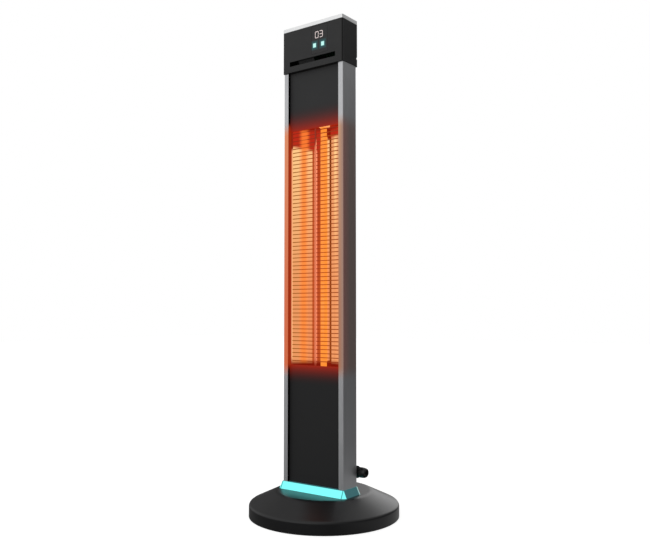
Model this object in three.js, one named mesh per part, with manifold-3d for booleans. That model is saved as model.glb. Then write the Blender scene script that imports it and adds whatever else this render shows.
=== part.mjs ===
// Infrared patio heater tower: a round weighted base, a slim column with a quartz lamp
// behind a wire guard, and a control head with a display. Millimetres, +Z up, front faces -Y.

import * as THREE from 'three';
import { mergeVertices } from 'three/addons/utils/BufferGeometryUtils.js';
import Module from 'manifold-3d';

const wasm = await Module();
wasm.setup();

// ---- Overall sizes -------------------------------------------------------------------
const totalHeight = 1000;
const seatGap = 0.2; // between two pieces that rest on each other
const slipGap = 0.4; // round a piece that slides or plugs in

// Base
const baseRadius = 151.3;
const footHeight = 2;
const skirtGap = 0.5; // between the cover's lower edge and the floor
const footRadius = 9;
const footPegRadius = 3.6;
const footInset = 17.3;
const footCount = 4;
const rimTop = 26.2;
const rimFillet = 3;
const slopeWidth = 55.3;
const plateauZ = 50;
const coverWall = 3;
const bottomPlateThickness = 2.5;
const ballastThickness = 14;
const ballastInset = 39.3;
const ballastBore = 32;
const bossRadius = 5;
const bossInset = 26.3;
const baseScrewRadius = 1.9;
const baseScrewHead = 4.2;
const baseScrewLength = 22;
const boltRadius = 2.9;
const boltHeadRadius = 5.5;
const boltHeadHeight = 5;
const boltSideInset = 18.8; // from the rail's inner face
const boltSpacingY = 18;
const pillarRadius = 8;
const wiringHole = 10;

// Tip-over switch
const switchY = 9;
const switchWidth = 19;
const switchHeight = 26;
const plungerRadius = 3.5;
const plungerFlange = 6;
const plungerFlangeHeight = 2;
const plungerTravel = 5;
const plungerPin = 2.2;
const switchSpringRadius = 4.4;
const switchSpringWire = 0.5;
const switchSpringTurns = 6;

// Column
const columnWidth = 150.8;
const columnDepth = 44.6;
const columnFront = -38.8;
const railWidth = 11.6;
const railWall = 1.8;
const railFillet = 2;
const panelRecess = 7;
const panelThickness = 1.5;
const panelGroove = 4;
const windowBottom = 300.5;
const upperPanelHeight = 122.6;
const bracketThickness = 4;
const bracketHeight = 56;
const collarTop = 64.3;
const collarFlare = 8;
const collarChamfer = 7;
const collarLip = 1.1;
const collarLipChamfer = 0.6;
const ledStripThickness = 1.6;
const ledStripHeight = 4;

// Lamp, reflector and guard
const lampY = 0;
const lampRadius = 7;
const lampWall = 1.2;
const lampCapRadius = 8.5;
const lampCapFlange = 12.4;
const lampCapFlangeHeight = 5;
const lampCapLength = 17;
const lampSocketDepth = 9;
const filamentRadius = 3.2;
const filamentWire = 0.7;
const filamentTurns = 24;
const clipHeight = 20;
const clipWall = 1;
const clipGrip = Math.PI * 0.02; // past the half circle, at each end
const reflectorOverTop = 11.6; // behind the panels, past the window
const reflectorOverBottom = 17.5;
const reflectorThickness = 0.8;
const reflectorEdgeY = -27.4;
const reflectorFocus = 20.8;
const reflectorBends = [52, 41, 30, 15];
const endPlateThickness = 1.2;
const guardWireRadius = 0.9;
const guardWirePitch = 8.1;
const guardWireInset = 8.6; // the first wire, above the window's lower edge
const guardBarWidth = 4;
const guardBarThickness = 2;
const cutoffRadius = 6;
const cutoffDrop = 54.6;

// Rear housing
const housingHalfWidth = 55;
const housingRear = 33;
const housingSheet = 1.5;
const housingBend = 4;
const housingFlange = 16;
const housingBottom = 68;
const housingTopGap = 7.4;
const capThickness = 3;
const capLip = 6;
const shieldRear = 29.5;
const shieldSheet = 1;
const ventWidth = 56;
const ventHeight = 4;
const ventPitch = 9;
const ventCount = 7;
const lowerVentRise = 72;
const upperVentDrop = 83;

// Cable gland
const glandY = 19;
const glandZ = 90.2;
const glandShank = 8;
const glandBore = 4.9;
const glandFlange = 10.8;
const glandFlangeLength = 5.6;
const glandNutRadius = 10.1;
const glandNutLength = 19.4;
const entryBossLength = 10;
const entryBossHalf = 10.4;
const locknutFlats = 18.4;
const locknutThickness = 4;

// Control head
const headHeight = 94.4;
const headWidth = 152.1;
const headFront = -41.7;
const headRear = 11.5;
const headWall = 2.5;
const headCorner = 3;
const rearCoverThickness = 5;
const topPlateThickness = 7.7;
const slotHalfWidth = 58;
const slotBottom = 12.4;
const slotHeight = 9.6;
const notchBottom = 13.4;
const notchApex = 16.1;
const notchTop = 22.9;
const lensX = 19.1;
const lensWidth = 39.6;
const lensBottom = 27;
const lensHeight = 57;
const keyWidth = 9.6;
const keyHeight = 11.8;
const keySpacing = 20.4;
const keyX = 16.9;
const keyZ = 44.4;
const digitZ = 65;
const boardThickness = 1.6;
const boardSideGap = 15;
const boardBottom = 10;
const boardHeight = 68;
const sinkX = 18;
const sinkBottom = 16;
const sinkHeight = 24;
const sinkDepth = 16;
const sinkFin = 2.5;
const sinkPitch = 6;
const sinkFins = 5;
const relayInset = 16; // from the board's left end
const relayWidth = 20;
const relayDepth = 16;
const relayBottom = 40;
const relayHeight = 16;
const postX = 50;
const postBottom = 20;
const postSpacing = 48;
const postRadius = 3;
const postDepth = 4;
const baffleRear = 14;
const baffleFoot = 12;
const baffleRise = 3;
const baffleSheet = 1.2;
const baffleLeft = -40;
const baffleRight = 0;

// Wiring
const harnessRadius = 2.8;
const lampLeadRadius = 1.4;
const switchLeadRadius = 1.8;
const harnessInset = 6.3; // from the right rail's inner face
const harnessRear = 4.8; // from the column's rear face
const plugHalf = 9;
const plugDepth = 8;
const plugHeight = 10;
const plugRise = 22;
const terminalWidth = 42;
const terminalRight = 8;
const terminalDepth = 13;
const terminalHeight = 16;
const terminalRise = 14;
const terminalWays = 3;

// ---- Places worked out from the sizes ----------------------------------------------------
const columnRear = columnFront + columnDepth;
const columnMidY = columnFront + columnDepth / 2;
const railOuter = columnWidth / 2;
const railInner = railOuter - railWidth;
const panelFront = columnFront + panelRecess;
const panelRear = panelFront + panelThickness;
const plateauRadius = baseRadius - slopeWidth;
const footCircle = baseRadius - footInset;
const bossCircle = baseRadius - bossInset;
const ballastRadius = baseRadius - ballastInset;
const headBottom = totalHeight - headHeight;
const columnBottom = plateauZ + seatGap;
const columnTop = headBottom - seatGap;
const windowTop = headBottom - upperPanelHeight;
const reflectorTop = windowTop + reflectorOverTop;
const reflectorBottom = windowBottom - reflectorOverBottom;
const cutoffZ = reflectorTop - cutoffDrop;
const housingTop = columnTop - housingTopGap;
const lowerVentZ = housingBottom + lowerVentRise;
const upperVentZ = housingTop - upperVentDrop;
const topPlateBottom = headHeight - topPlateThickness;
const bottomPlateTop = footHeight + bottomPlateThickness;
const ballastBottom = bottomPlateTop + seatGap;
const upperCapZ = reflectorTop - lampCapFlangeHeight - seatGap;
const lowerCapZ = reflectorBottom + lampCapFlangeHeight + seatGap;
const guardY = panelRear + seatGap + guardWireRadius;
const guardFirstWire = windowBottom + guardWireInset;
const guardWireCount = Math.floor((reflectorTop - seatGap - guardFirstWire) / guardWirePitch) + 1;

// ---- Helpers ---------------------------------------------------------------------------
function signedVolume(places, corners) {
  let total = 0;
  const [a, b, c] = [new THREE.Vector3(), new THREE.Vector3(), new THREE.Vector3()];
  for (let i = 0; i < corners.length; i += 3) {
    a.fromArray(places, corners[i] * 3);
    b.fromArray(places, corners[i + 1] * 3);
    c.fromArray(places, corners[i + 2] * 3);
    total += a.dot(b.cross(c));
  }
  return total;
}

// A closed three.js geometry as a manifold solid, whichever way its faces were wound.
function solid(geometry) {
  geometry.deleteAttribute('normal');
  geometry.deleteAttribute('uv');
  const merged = mergeVertices(geometry, 1e-4);
  const places = merged.attributes.position.array;
  const index = merged.index.array;
  const corners = [];
  for (let i = 0; i < index.length; i += 3) {
    const [p, q, r] = [index[i], index[i + 1], index[i + 2]];
    if (p !== q && q !== r && r !== p) corners.push(p, q, r);
  }
  if (signedVolume(places, corners) < 0) corners.reverse();
  return new wasm.Manifold(new wasm.Mesh({
    numProp: 3,
    vertProperties: Float32Array.from(places),
    triVerts: Uint32Array.from(corners),
  }));
}

function surface(form) {
  const mesh = form.getMesh();
  const geometry = new THREE.BufferGeometry();
  geometry.setAttribute('position', new THREE.BufferAttribute(Float32Array.from(mesh.vertProperties), 3));
  geometry.setIndex(new THREE.BufferAttribute(Uint32Array.from(mesh.triVerts), 1));
  geometry.computeVertexNormals();
  return geometry;
}

const fuse = (first, ...others) => others.reduce((whole, next) => whole.add(next), first);
const cut = (first, ...tools) => tools.reduce((whole, next) => whole.subtract(next), first);

function outline(points) {
  return new THREE.Shape(points.map(([x, y]) => new THREE.Vector2(x, y)));
}

// A rectangle in plan whose two front (-Y) and two rear corners are rounded.
function roundedPlan(halfWidth, front, rear, frontRadius, rearRadius) {
  const shape = new THREE.Shape();
  shape.absarc(-halfWidth + frontRadius, front + frontRadius, frontRadius, Math.PI, 1.5 * Math.PI);
  shape.absarc(halfWidth - frontRadius, front + frontRadius, frontRadius, 1.5 * Math.PI, 2 * Math.PI);
  shape.absarc(halfWidth - rearRadius, rear - rearRadius, rearRadius, 0, 0.5 * Math.PI);
  shape.absarc(-halfWidth + rearRadius, rear - rearRadius, rearRadius, 0.5 * Math.PI, Math.PI);
  return shape;
}

function extruded(shape, depth, curveSegments) {
  return new THREE.ExtrudeGeometry(shape, { depth, bevelEnabled: false, curveSegments });
}

function prismZ(shape, bottom, top, curveSegments = 4) {
  return solid(extruded(shape, top - bottom, curveSegments).translate(0, 0, bottom));
}

// The shape's x and y are the part's X and Z.
function prismY(shape, front, rear, curveSegments = 4) {
  return solid(extruded(shape, rear - front, curveSegments).rotateX(Math.PI / 2).translate(0, rear, 0));
}

// The shape's x and y are the part's Y and Z.
function prismX(shape, left, right, curveSegments = 4) {
  const turn = new THREE.Matrix4().makeBasis(
    new THREE.Vector3(0, 1, 0), new THREE.Vector3(0, 0, 1), new THREE.Vector3(1, 0, 0));
  return solid(extruded(shape, right - left, curveSegments).applyMatrix4(turn).translate(left, 0, 0));
}

function block(left, right, front, rear, bottom, top) {
  const geometry = new THREE.BoxGeometry(right - left, rear - front, top - bottom);
  return solid(geometry.translate((left + right) / 2, (front + rear) / 2, (bottom + top) / 2));
}

// Profile points are [radius, height], turned about a vertical axis at (x, y).
function turned(profile, x = 0, y = 0, segments = 24) {
  const points = profile.map(([radius, height]) => new THREE.Vector2(radius, height));
  return solid(new THREE.LatheGeometry(points, segments).rotateX(Math.PI / 2).translate(x, y, 0));
}

// Profile points are [radius, distance along +X], turned about an axis along X.
function turnedX(profile, y, z, segments = 24, firstAngle = 0) {
  const points = profile.map(([radius, along]) => new THREE.Vector2(radius, along));
  const geometry = new THREE.LatheGeometry(points, segments, firstAngle);
  return solid(geometry.rotateX(Math.PI / 2).rotateY(Math.PI / 2).translate(0, y, z));
}

function rod(radius, bottom, top, x = 0, y = 0, segments = 16) {
  return turned([[0, bottom], [radius, bottom], [radius, top], [0, top]], x, y, segments);
}

function rodX(radius, left, right, y, z, segments = 24) {
  return turnedX([[0, left], [radius, left], [radius, right], [0, right]], y, z, segments);
}

function rodY(radius, front, rear, x, z, segments = 16) {
  const geometry = new THREE.CylinderGeometry(radius, radius, rear - front, segments);
  return solid(geometry.translate(x, (front + rear) / 2, z));
}

// A bent sheet in plan: the path is one face, and the other lies to its left by the thickness.
function sheet(path, thickness) {
  const points = path.map(([x, y]) => new THREE.Vector2(x, y));
  const normals = [];
  for (let i = 0; i + 1 < points.length; i += 1) {
    const along = points[i + 1].clone().sub(points[i]).normalize();
    normals.push(new THREE.Vector2(-along.y, along.x));
  }
  const inner = points.map((point, i) => {
    const before = normals[Math.max(i - 1, 0)];
    const after = normals[Math.min(i, normals.length - 1)];
    const middle = before.clone().add(after).normalize();
    return point.clone().addScaledVector(middle, thickness / middle.dot(after));
  });
  return new THREE.Shape([...points, ...inner.reverse()]);
}

// A closed tube swept along points, each ring square to the path.
function swept(points, radius, sides) {
  const places = [];
  const index = [];
  const side = new THREE.Vector3();
  const up = new THREE.Vector3();
  let lastSide = null;
  points.forEach((point, i) => {
    const next = points[Math.min(i + 1, points.length - 1)];
    const along = next.clone().sub(points[Math.max(i - 1, 0)]).normalize();
    if (lastSide) {
      side.copy(lastSide).addScaledVector(along, -lastSide.dot(along)).normalize();
    } else {
      side.set(Math.abs(along.x) < 0.9 ? 1 : 0, Math.abs(along.x) < 0.9 ? 0 : 1, 0);
      side.addScaledVector(along, -side.dot(along)).normalize();
    }
    lastSide = side.clone();
    up.crossVectors(along, side);
    for (let k = 0; k < sides; k += 1) {
      const angle = (2 * Math.PI * k) / sides;
      const place = point.clone();
      place.addScaledVector(side, radius * Math.cos(angle)).addScaledVector(up, radius * Math.sin(angle));
      places.push(...place.toArray());
    }
  });
  for (let i = 0; i + 1 < points.length; i += 1) {
    for (let k = 0; k < sides; k += 1) {
      const [a, b] = [i * sides + k, i * sides + ((k + 1) % sides)];
      index.push(a, b, b + sides, a, b + sides, a + sides);
    }
  }
  const last = (points.length - 1) * sides;
  for (let k = 1; k + 1 < sides; k += 1) {
    index.push(0, k + 1, k);
    index.push(last, last + k, last + k + 1);
  }
  const geometry = new THREE.BufferGeometry();
  geometry.setAttribute('position', new THREE.Float32BufferAttribute(places, 3));
  geometry.setIndex(index);
  return solid(geometry);
}

// A solid between two outlines with as many corners, one above the other.
function lofted(lower, upper, bottom, top) {
  const count = lower.length;
  const places = [];
  lower.forEach(([x, y]) => places.push(x, y, bottom));
  upper.forEach(([x, y]) => places.push(x, y, top));
  const index = [];
  for (let i = 0; i < count; i += 1) {
    const next = (i + 1) % count;
    index.push(i, next, count + next, i, count + next, count + i);
  }
  for (let i = 1; i + 1 < count; i += 1) {
    index.push(0, i + 1, i);
    index.push(count, count + i, count + i + 1);
  }
  const geometry = new THREE.BufferGeometry();
  geometry.setAttribute('position', new THREE.Float32BufferAttribute(places, 3));
  geometry.setIndex(index);
  return solid(geometry);
}

function onCircle(radius, count, firstDegrees) {
  const places = [];
  for (let i = 0; i < count; i += 1) {
    const angle = THREE.MathUtils.degToRad(firstDegrees + (360 * i) / count);
    places.push([radius * Math.cos(angle), radius * Math.sin(angle)]);
  }
  return places;
}

function addPiece(group, name, form, color, roughness, metalness) {
  const material = new THREE.MeshStandardMaterial({ color, roughness, metalness });
  const mesh = new THREE.Mesh(surface(form), material);
  mesh.name = name;
  group.add(mesh);
}

const black = 0x26272a;
const steel = 0xb9bcc0;
const aluminium = 0xc4c6c8;
const rubber = 0x1b1b1c;

// ---- Base --------------------------------------------------------------------------------
const footPlaces = onCircle(footCircle, footCount, 45);
const bossPlaces = onCircle(bossCircle, footCount, 0);
const boltPlaces = [-1, 1].flatMap((sx) => [-1, 1].map(
  (sy) => [sx * (railInner - boltSideInset), columnMidY + (sy * boltSpacingY) / 2]));

function baseCover() {
  const slope = Math.atan2(plateauZ - rimTop, baseRadius - plateauRadius);
  const outer = [[baseRadius, skirtGap]];
  const steps = 4;
  for (let i = 0; i <= steps; i += 1) {
    const angle = ((Math.PI / 2 - slope) * i) / steps;
    const lift = rimTop - rimFillet * Math.cos(slope);
    outer.push([baseRadius - rimFillet + rimFillet * Math.cos(angle), lift + rimFillet * Math.sin(angle)]);
  }
  outer.push([plateauRadius, plateauZ], [0, plateauZ]);
  const ceiling = plateauZ - coverWall;
  const inner = [
    [0, ceiling],
    [plateauRadius - coverWall, ceiling],
    [baseRadius - coverWall, rimTop - coverWall * 1.4],
    [baseRadius - coverWall, skirtGap],
  ];
  let cover = turned([...inner, ...outer], 0, 0, 64);
  const fall = (plateauZ - rimTop) / (baseRadius - plateauRadius);
  const bossTop = plateauZ - fall * (bossCircle + bossRadius - plateauRadius) - coverWall / 3;
  for (const [x, y] of bossPlaces) {
    cover = fuse(cover, rod(bossRadius, ballastBottom, bossTop, x, y, 12));
    cover = cut(cover, rod(baseScrewRadius + seatGap, 0, footHeight + baseScrewLength, x, y, 12));
  }
  for (const [x, y] of boltPlaces) {
    cover = cut(cover, rod(boltRadius + slipGap, ceiling - 1, plateauZ + 1, x, y, 12));
  }
  return cut(cover, rod(wiringHole, ceiling - 1, plateauZ + 1, 0, columnMidY, 20));
}

function baseBottomPlate() {
  let plate = rod(baseRadius - coverWall - slipGap * 2, footHeight, bottomPlateTop, 0, 0, 64);
  for (const [x, y] of footPlaces) {
    plate = cut(plate, rod(footPegRadius + slipGap, 0, bottomPlateTop + 1, x, y, 12));
  }
  for (const [x, y] of bossPlaces) {
    plate = cut(plate, rod(baseScrewRadius + slipGap, 0, bottomPlateTop + 1, x, y, 12));
  }
  return cut(plate, rod(plungerRadius + slipGap, 0, bottomPlateTop + 1, 0, switchY, 16));
}

function baseBallast() {
  const top = ballastBottom + ballastThickness;
  const chamfer = 2;
  let weight = turned([
    [ballastBore, ballastBottom], [ballastRadius, ballastBottom], [ballastRadius, top - chamfer],
    [ballastRadius - chamfer, top], [ballastBore, top], [ballastBore, ballastBottom]], 0, 0, 48);
  const pillarTop = plateauZ - coverWall - seatGap;
  for (const [x, y] of boltPlaces) {
    weight = fuse(weight, rod(pillarRadius, top - 1, pillarTop, x, y, 16));
    weight = cut(weight, rod(boltRadius + slipGap, 0, plateauZ, x, y, 12));
    weight = cut(weight, rod(boltHeadRadius + slipGap, 0, ballastBottom + boltHeadHeight + slipGap, x, y, 12));
  }
  return weight;
}

function baseFoot(x, y) {
  const padTop = footHeight - seatGap;
  const edge = 1;
  return turned([
    [0, 0], [footRadius - edge, 0], [footRadius, edge], [footRadius, padTop],
    [footPegRadius, padTop], [footPegRadius, bottomPlateTop + 2], [0, bottomPlateTop + 2]], x, y, 24);
}

function baseScrew(x, y) {
  const headTop = footHeight - seatGap;
  return turned([
    [0, headTop - 1.4], [baseScrewHead - 1, headTop - 1.4], [baseScrewHead, headTop],
    [baseScrewRadius, headTop], [baseScrewRadius, headTop + baseScrewLength - 2],
    [0, headTop + baseScrewLength]], x, y, 12);
}

function columnBolt(x, y) {
  const headBase = ballastBottom + seatGap;
  const headTop = headBase + boltHeadHeight - seatGap;
  const tip = columnBottom + bracketThickness + 3;
  const head = rod(boltHeadRadius, headBase, headTop, x, y, 6);
  return fuse(head, rod(boltRadius, headTop - 1, tip, x, y, 12));
}

function columnFootBracket() {
  const half = railInner - seatGap;
  const front = panelRear + 1;
  const rear = columnRear - 2;
  const top = columnBottom + bracketThickness;
  let bracket = block(-half, half, front, rear, columnBottom, top);
  for (const side of [-1, 1]) {
    const [near, far] = [side * (half - bracketThickness + 1), side * half].sort((a, b) => a - b);
    bracket = fuse(bracket, block(near, far, front + 3, rear - 3, columnBottom, columnBottom + bracketHeight));
  }
  for (const [x, y] of boltPlaces) {
    bracket = cut(bracket, rod(boltRadius + slipGap, columnBottom - 1, top + 1, x, y, 12));
  }
  return cut(bracket, rod(wiringHole, columnBottom - 1, top + 1, 0, columnMidY, 20));
}

// ---- Tip-over switch: the floor holds the plunger up, and a spring drives it out ------------
const plungerFlangeZ = bottomPlateTop + plungerTravel + seatGap + 0.3;
const switchCeiling = bottomPlateTop + switchHeight - 2;

function tipSwitchBody() {
  const half = switchWidth / 2;
  const bottom = bottomPlateTop + seatGap;
  const shell = roundedPlan(half, switchY - half, switchY + half, 2, 2);
  const body = prismZ(shell, bottom, bottomPlateTop + switchHeight, 2);
  const ears = block(-half - 6, half + 6, switchY - 4, switchY + 4, bottom, bottom + 2.5);
  const bore = rod(plungerFlange + slipGap, 0, switchCeiling, 0, switchY, 20);
  return cut(fuse(body, ears), bore);
}

function tipSwitchPlunger() {
  const flangeTop = plungerFlangeZ + plungerFlangeHeight;
  return turned([
    [0, 0], [plungerRadius * 0.7, 0.3], [plungerRadius, 1.4], [plungerRadius, plungerFlangeZ],
    [plungerFlange, plungerFlangeZ], [plungerFlange, flangeTop], [plungerPin, flangeTop],
    [plungerPin, flangeTop + 5], [0, flangeTop + 5]], 0, switchY, 20);
}

function tipSwitchSpring() {
  const bottom = plungerFlangeZ + plungerFlangeHeight + seatGap + switchSpringWire;
  const top = switchCeiling - seatGap - switchSpringWire;
  const points = [];
  const steps = switchSpringTurns * 8;
  for (let i = 0; i <= steps; i += 1) {
    const angle = (2 * Math.PI * i) / 8;
    const z = bottom + ((top - bottom) * i) / steps;
    points.push(new THREE.Vector3(
      switchSpringRadius * Math.cos(angle), switchY + switchSpringRadius * Math.sin(angle), z));
  }
  return swept(points, switchSpringWire, 5);
}

// ---- Light collar round the column's foot ----------------------------------------------------
function chamferedPlan(grow, chamfer) {
  const half = railOuter + grow;
  const [front, rear] = [columnFront - grow, columnRear + grow];
  return [
    [-half + chamfer, front], [half - chamfer, front], [half, front + chamfer], [half, rear - chamfer],
    [half - chamfer, rear], [-half + chamfer, rear], [-half, rear - chamfer], [-half, front + chamfer]];
}

function ledCollar() {
  const foot = chamferedPlan(collarFlare, collarChamfer);
  const outer = lofted(foot, chamferedPlan(collarLip, collarLipChamfer), columnBottom, collarTop);
  const gap = slipGap;
  const rear = columnRear + gap;
  const middle = block(-railOuter, railOuter, panelFront - gap, rear, 0, totalHeight);
  const rails = [-1, 1].map((side) => {
    const [near, far] = [side * (railInner - gap), side * (railOuter + gap)].sort((a, b) => a - b);
    return block(near, far, columnFront - gap, rear, 0, totalHeight);
  });
  const grow = gap * 2 + ledStripThickness;
  const pocket = block(-railOuter - grow, railOuter + grow, columnFront - grow, columnRear + grow,
    0, columnBottom + ledStripHeight + gap * 2);
  return cut(outer, middle, ...rails, pocket);
}

function ledStrip() {
  const inner = slipGap;
  const outer = slipGap + ledStripThickness;
  const [bottom, top] = [columnBottom + seatGap, columnBottom + ledStripHeight];
  const around = (grow, low, high) => block(
    -railOuter - grow, railOuter + grow, columnFront - grow, columnRear + grow, low, high);
  return cut(around(outer, bottom, top), around(inner, 0, totalHeight));
}

// ---- Column ------------------------------------------------------------------------------
// Extruded side rail: two chambers, with a groove between them that holds the front panels.
function rail(side) {
  const x = (distance) => side * distance;
  const shape = new THREE.Shape();
  const grooveFront = panelFront - seatGap;
  const grooveRear = panelRear + seatGap;
  shape.moveTo(x(railInner), columnFront);
  const steps = 4;
  for (let i = 0; i <= steps; i += 1) {
    const angle = (Math.PI / 2) * (i / steps);
    shape.lineTo(
      x(railOuter - railFillet + railFillet * Math.sin(angle)),
      columnFront + railFillet - railFillet * Math.cos(angle));
  }
  shape.lineTo(x(railOuter), columnRear);
  shape.lineTo(x(railInner), columnRear);
  shape.lineTo(x(railInner), grooveRear);
  shape.lineTo(x(railInner + panelGroove), grooveRear);
  shape.lineTo(x(railInner + panelGroove), grooveFront);
  shape.lineTo(x(railInner), grooveFront);
  const chambers = [
    [columnFront + railWall, grooveFront - railWall],
    [grooveRear + railWall, columnRear - railWall]];
  for (const [front, rear] of chambers) {
    const [near, far] = [x(railInner + railWall), x(railOuter - railWall)];
    shape.holes.push(new THREE.Path([
      new THREE.Vector2(near, front), new THREE.Vector2(near, rear),
      new THREE.Vector2(far, rear), new THREE.Vector2(far, front)]));
  }
  return prismZ(shape, columnBottom, columnTop);
}

function frontPanel(bottom, top) {
  const half = railInner + panelGroove - slipGap;
  return block(-half, half, panelFront, panelRear, bottom, top);
}

// ---- Reflector: a parabolic trough bent in flats, with the lamp on its focal line --------------
function reflectorPath() {
  const edge = railInner - slipGap - reflectorThickness;
  const depth = (x) => lampY + reflectorFocus - (x * x) / (4 * reflectorFocus);
  const right = [[edge, reflectorEdgeY], ...reflectorBends.map((x) => [x, depth(x)])];
  const left = right.map(([x, y]) => [-x, y]);
  return [...left, [0, depth(0)], ...right.reverse()];
}

function reflector() {
  return prismZ(sheet(reflectorPath(), reflectorThickness), reflectorBottom, reflectorTop);
}

function reflectorEnd(bottom) {
  const lip = guardY - guardBarThickness / 2;
  const edge = railInner - slipGap;
  const path = sheet(reflectorPath(), reflectorThickness).getPoints().slice(reflectorPath().length);
  const shape = outline([[-edge, lip], [edge, lip], ...path.map((point) => [point.x, point.y])]);
  const plate = prismZ(shape, bottom, bottom + endPlateThickness);
  return cut(plate, rod(lampCapRadius + slipGap, bottom - 1, bottom + endPlateThickness + 1, 0, lampY, 24));
}

// ---- Lamp ----------------------------------------------------------------------------------
const lampTop = upperCapZ + lampSocketDepth - seatGap;
const lampBottom = lowerCapZ - lampSocketDepth + seatGap;

function lampTube() {
  const bore = lampRadius - lampWall;
  return turned([
    [bore, lampBottom], [lampRadius, lampBottom], [lampRadius, lampTop], [bore, lampTop],
    [bore, lampBottom]], 0, lampY, 24);
}

// Its ends run straight down the axis into the caps, and the winding opens out over a turn.
function lampFilament() {
  const lead = 12;
  const [bottom, top] = [lampBottom + seatGap, lampTop - seatGap];
  const [coilBottom, coilTop] = [bottom + lead, top - lead];
  const perTurn = 8;
  const steps = filamentTurns * perTurn;
  const points = [new THREE.Vector3(0, lampY, bottom)];
  for (let i = 0; i <= steps; i += 1) {
    const angle = (2 * Math.PI * i) / perTurn;
    const open = Math.min(i, steps - i, perTurn) / perTurn;
    const z = coilBottom + ((coilTop - coilBottom) * i) / steps;
    const radius = filamentRadius * open;
    points.push(new THREE.Vector3(radius * Math.cos(angle), lampY + radius * Math.sin(angle), z));
  }
  points.push(new THREE.Vector3(0, lampY, top));
  return swept(points, filamentWire, 5);
}

// A ceramic cap: the flange faces the lamp's middle, and the stem passes the end plate.
function lampCap(flangeZ, direction) {
  const at = (distance) => flangeZ + direction * distance;
  const socket = lampRadius + slipGap;
  return turned([
    [0, at(lampSocketDepth)], [socket, at(lampSocketDepth)], [socket, at(0)],
    [lampCapRadius, at(0)], [lampCapFlange, at(lampCapFlangeHeight / 2)],
    [lampCapFlange, at(lampCapFlangeHeight)], [lampCapRadius, at(lampCapFlangeHeight)],
    [lampCapRadius, at(lampCapFlangeHeight + lampCapLength)],
    [0, at(lampCapFlangeHeight + lampCapLength)]], 0, lampY, 24);
}

// A spring clip that stands on the trough's middle crease and grips the tube from behind.
function lampClip(bottom) {
  const inner = lampRadius + slipGap;
  const outer = inner + clipWall;
  const shape = new THREE.Shape();
  shape.absarc(0, lampY, outer, -clipGrip, Math.PI + clipGrip, false);
  shape.absarc(0, lampY, inner, Math.PI + clipGrip, -clipGrip, true);
  const ring = prismZ(shape, bottom, bottom + clipHeight, 8);
  const stemRear = lampY + reflectorFocus - 0.6;
  const stem = block(-2, 2, lampY + inner + clipWall / 2, stemRear, bottom, bottom + clipHeight);
  return fuse(ring, stem);
}

function thermalCutoff() {
  const front = lampY + reflectorFocus + reflectorThickness + 0.3;
  const can = rodY(cutoffRadius, front, front + 4, 0, cutoffZ, 20);
  const base = block(-cutoffRadius - 5, cutoffRadius + 5, front, front + 1, cutoffZ - 4, cutoffZ + 4);
  return fuse(can, base);
}

// ---- Guard: thin wires welded across three upright bars -----------------------------------------
function guardGrille() {
  const half = guardBarThickness / 2;
  const edge = railInner - slipGap;
  const [bottom, top] = [reflectorBottom + seatGap, reflectorTop - seatGap];
  let grille = null;
  for (const x of [-edge + guardBarWidth / 2, 0, edge - guardBarWidth / 2]) {
    const bar = block(x - guardBarWidth / 2, x + guardBarWidth / 2, guardY - half, guardY + half, bottom, top);
    grille = grille ? grille.add(bar) : bar;
  }
  const reach = edge - guardBarWidth / 2;
  const wires = [];
  for (let i = 0; i < guardWireCount; i += 1) {
    const z = guardFirstWire + i * guardWirePitch;
    wires.push(rodX(guardWireRadius, -reach, reach, guardY, z, 5));
  }
  return fuse(grille, ...wires);
}

// ---- Rear housing ------------------------------------------------------------------------------
function ventSlots(width, height, pitch, count, first, front, rear) {
  const slots = [];
  for (let i = 0; i < count; i += 1) {
    const z = first + i * pitch;
    slots.push(block(-width / 2, width / 2, front, rear, z, z + height));
  }
  return slots;
}

function rearCover() {
  const half = housingHalfWidth;
  const flangeY = columnRear + seatGap + housingSheet;
  const right = [
    [half + housingFlange, flangeY], [half, flangeY], [half, housingRear - housingBend],
    [half - housingBend, housingRear]];
  const left = right.map(([x, y]) => [-x, y]).reverse();
  const cover = prismZ(sheet([...right, ...left], housingSheet), housingBottom, housingTop);
  const depth = [housingRear - housingSheet - 1, housingRear + 1];
  const entry = rodX(glandShank + slipGap, half - 5, half + 5, glandY, glandZ, 16);
  return cut(
    cover,
    ...ventSlots(ventWidth, ventHeight, ventPitch, ventCount, lowerVentZ, ...depth),
    ...ventSlots(ventWidth, ventHeight, ventPitch, ventCount, upperVentZ, ...depth),
    entry);
}

function housingPlan(inset) {
  const half = housingHalfWidth - inset;
  const [front, rear] = [columnRear + seatGap + Math.max(inset - housingSheet, 0), housingRear - inset];
  const bend = housingBend;
  return outline([
    [-half, front], [half, front], [half, rear - bend], [half - bend, rear],
    [-half + bend, rear], [-half, rear - bend]]);
}

// An end cap of the rear housing, with a lip that plugs into the sheet.
function housingCap(edge, direction) {
  const plate = [edge, edge + direction * capThickness].sort((a, b) => a - b);
  const lip = [edge + direction, edge - direction * capLip].sort((a, b) => a - b);
  const cap = fuse(
    prismZ(housingPlan(0), ...plate), prismZ(housingPlan(housingSheet + slipGap), ...lip));
  const hollow = housingPlan(housingSheet + slipGap + 2);
  const space = [edge - seatGap * direction, edge - direction * (capLip + 1)].sort((a, b) => a - b);
  return cut(cap, prismZ(hollow, ...space));
}

function heatShield() {
  const half = housingHalfWidth - housingSheet - slipGap;
  const front = columnRear + 3;
  const right = [[half, front], [half, shieldRear - housingBend], [half - housingBend, shieldRear]];
  const left = right.map(([x, y]) => [-x, y]).reverse();
  return prismZ(sheet([...right, ...left], shieldSheet), reflectorBottom, reflectorTop);
}

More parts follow.
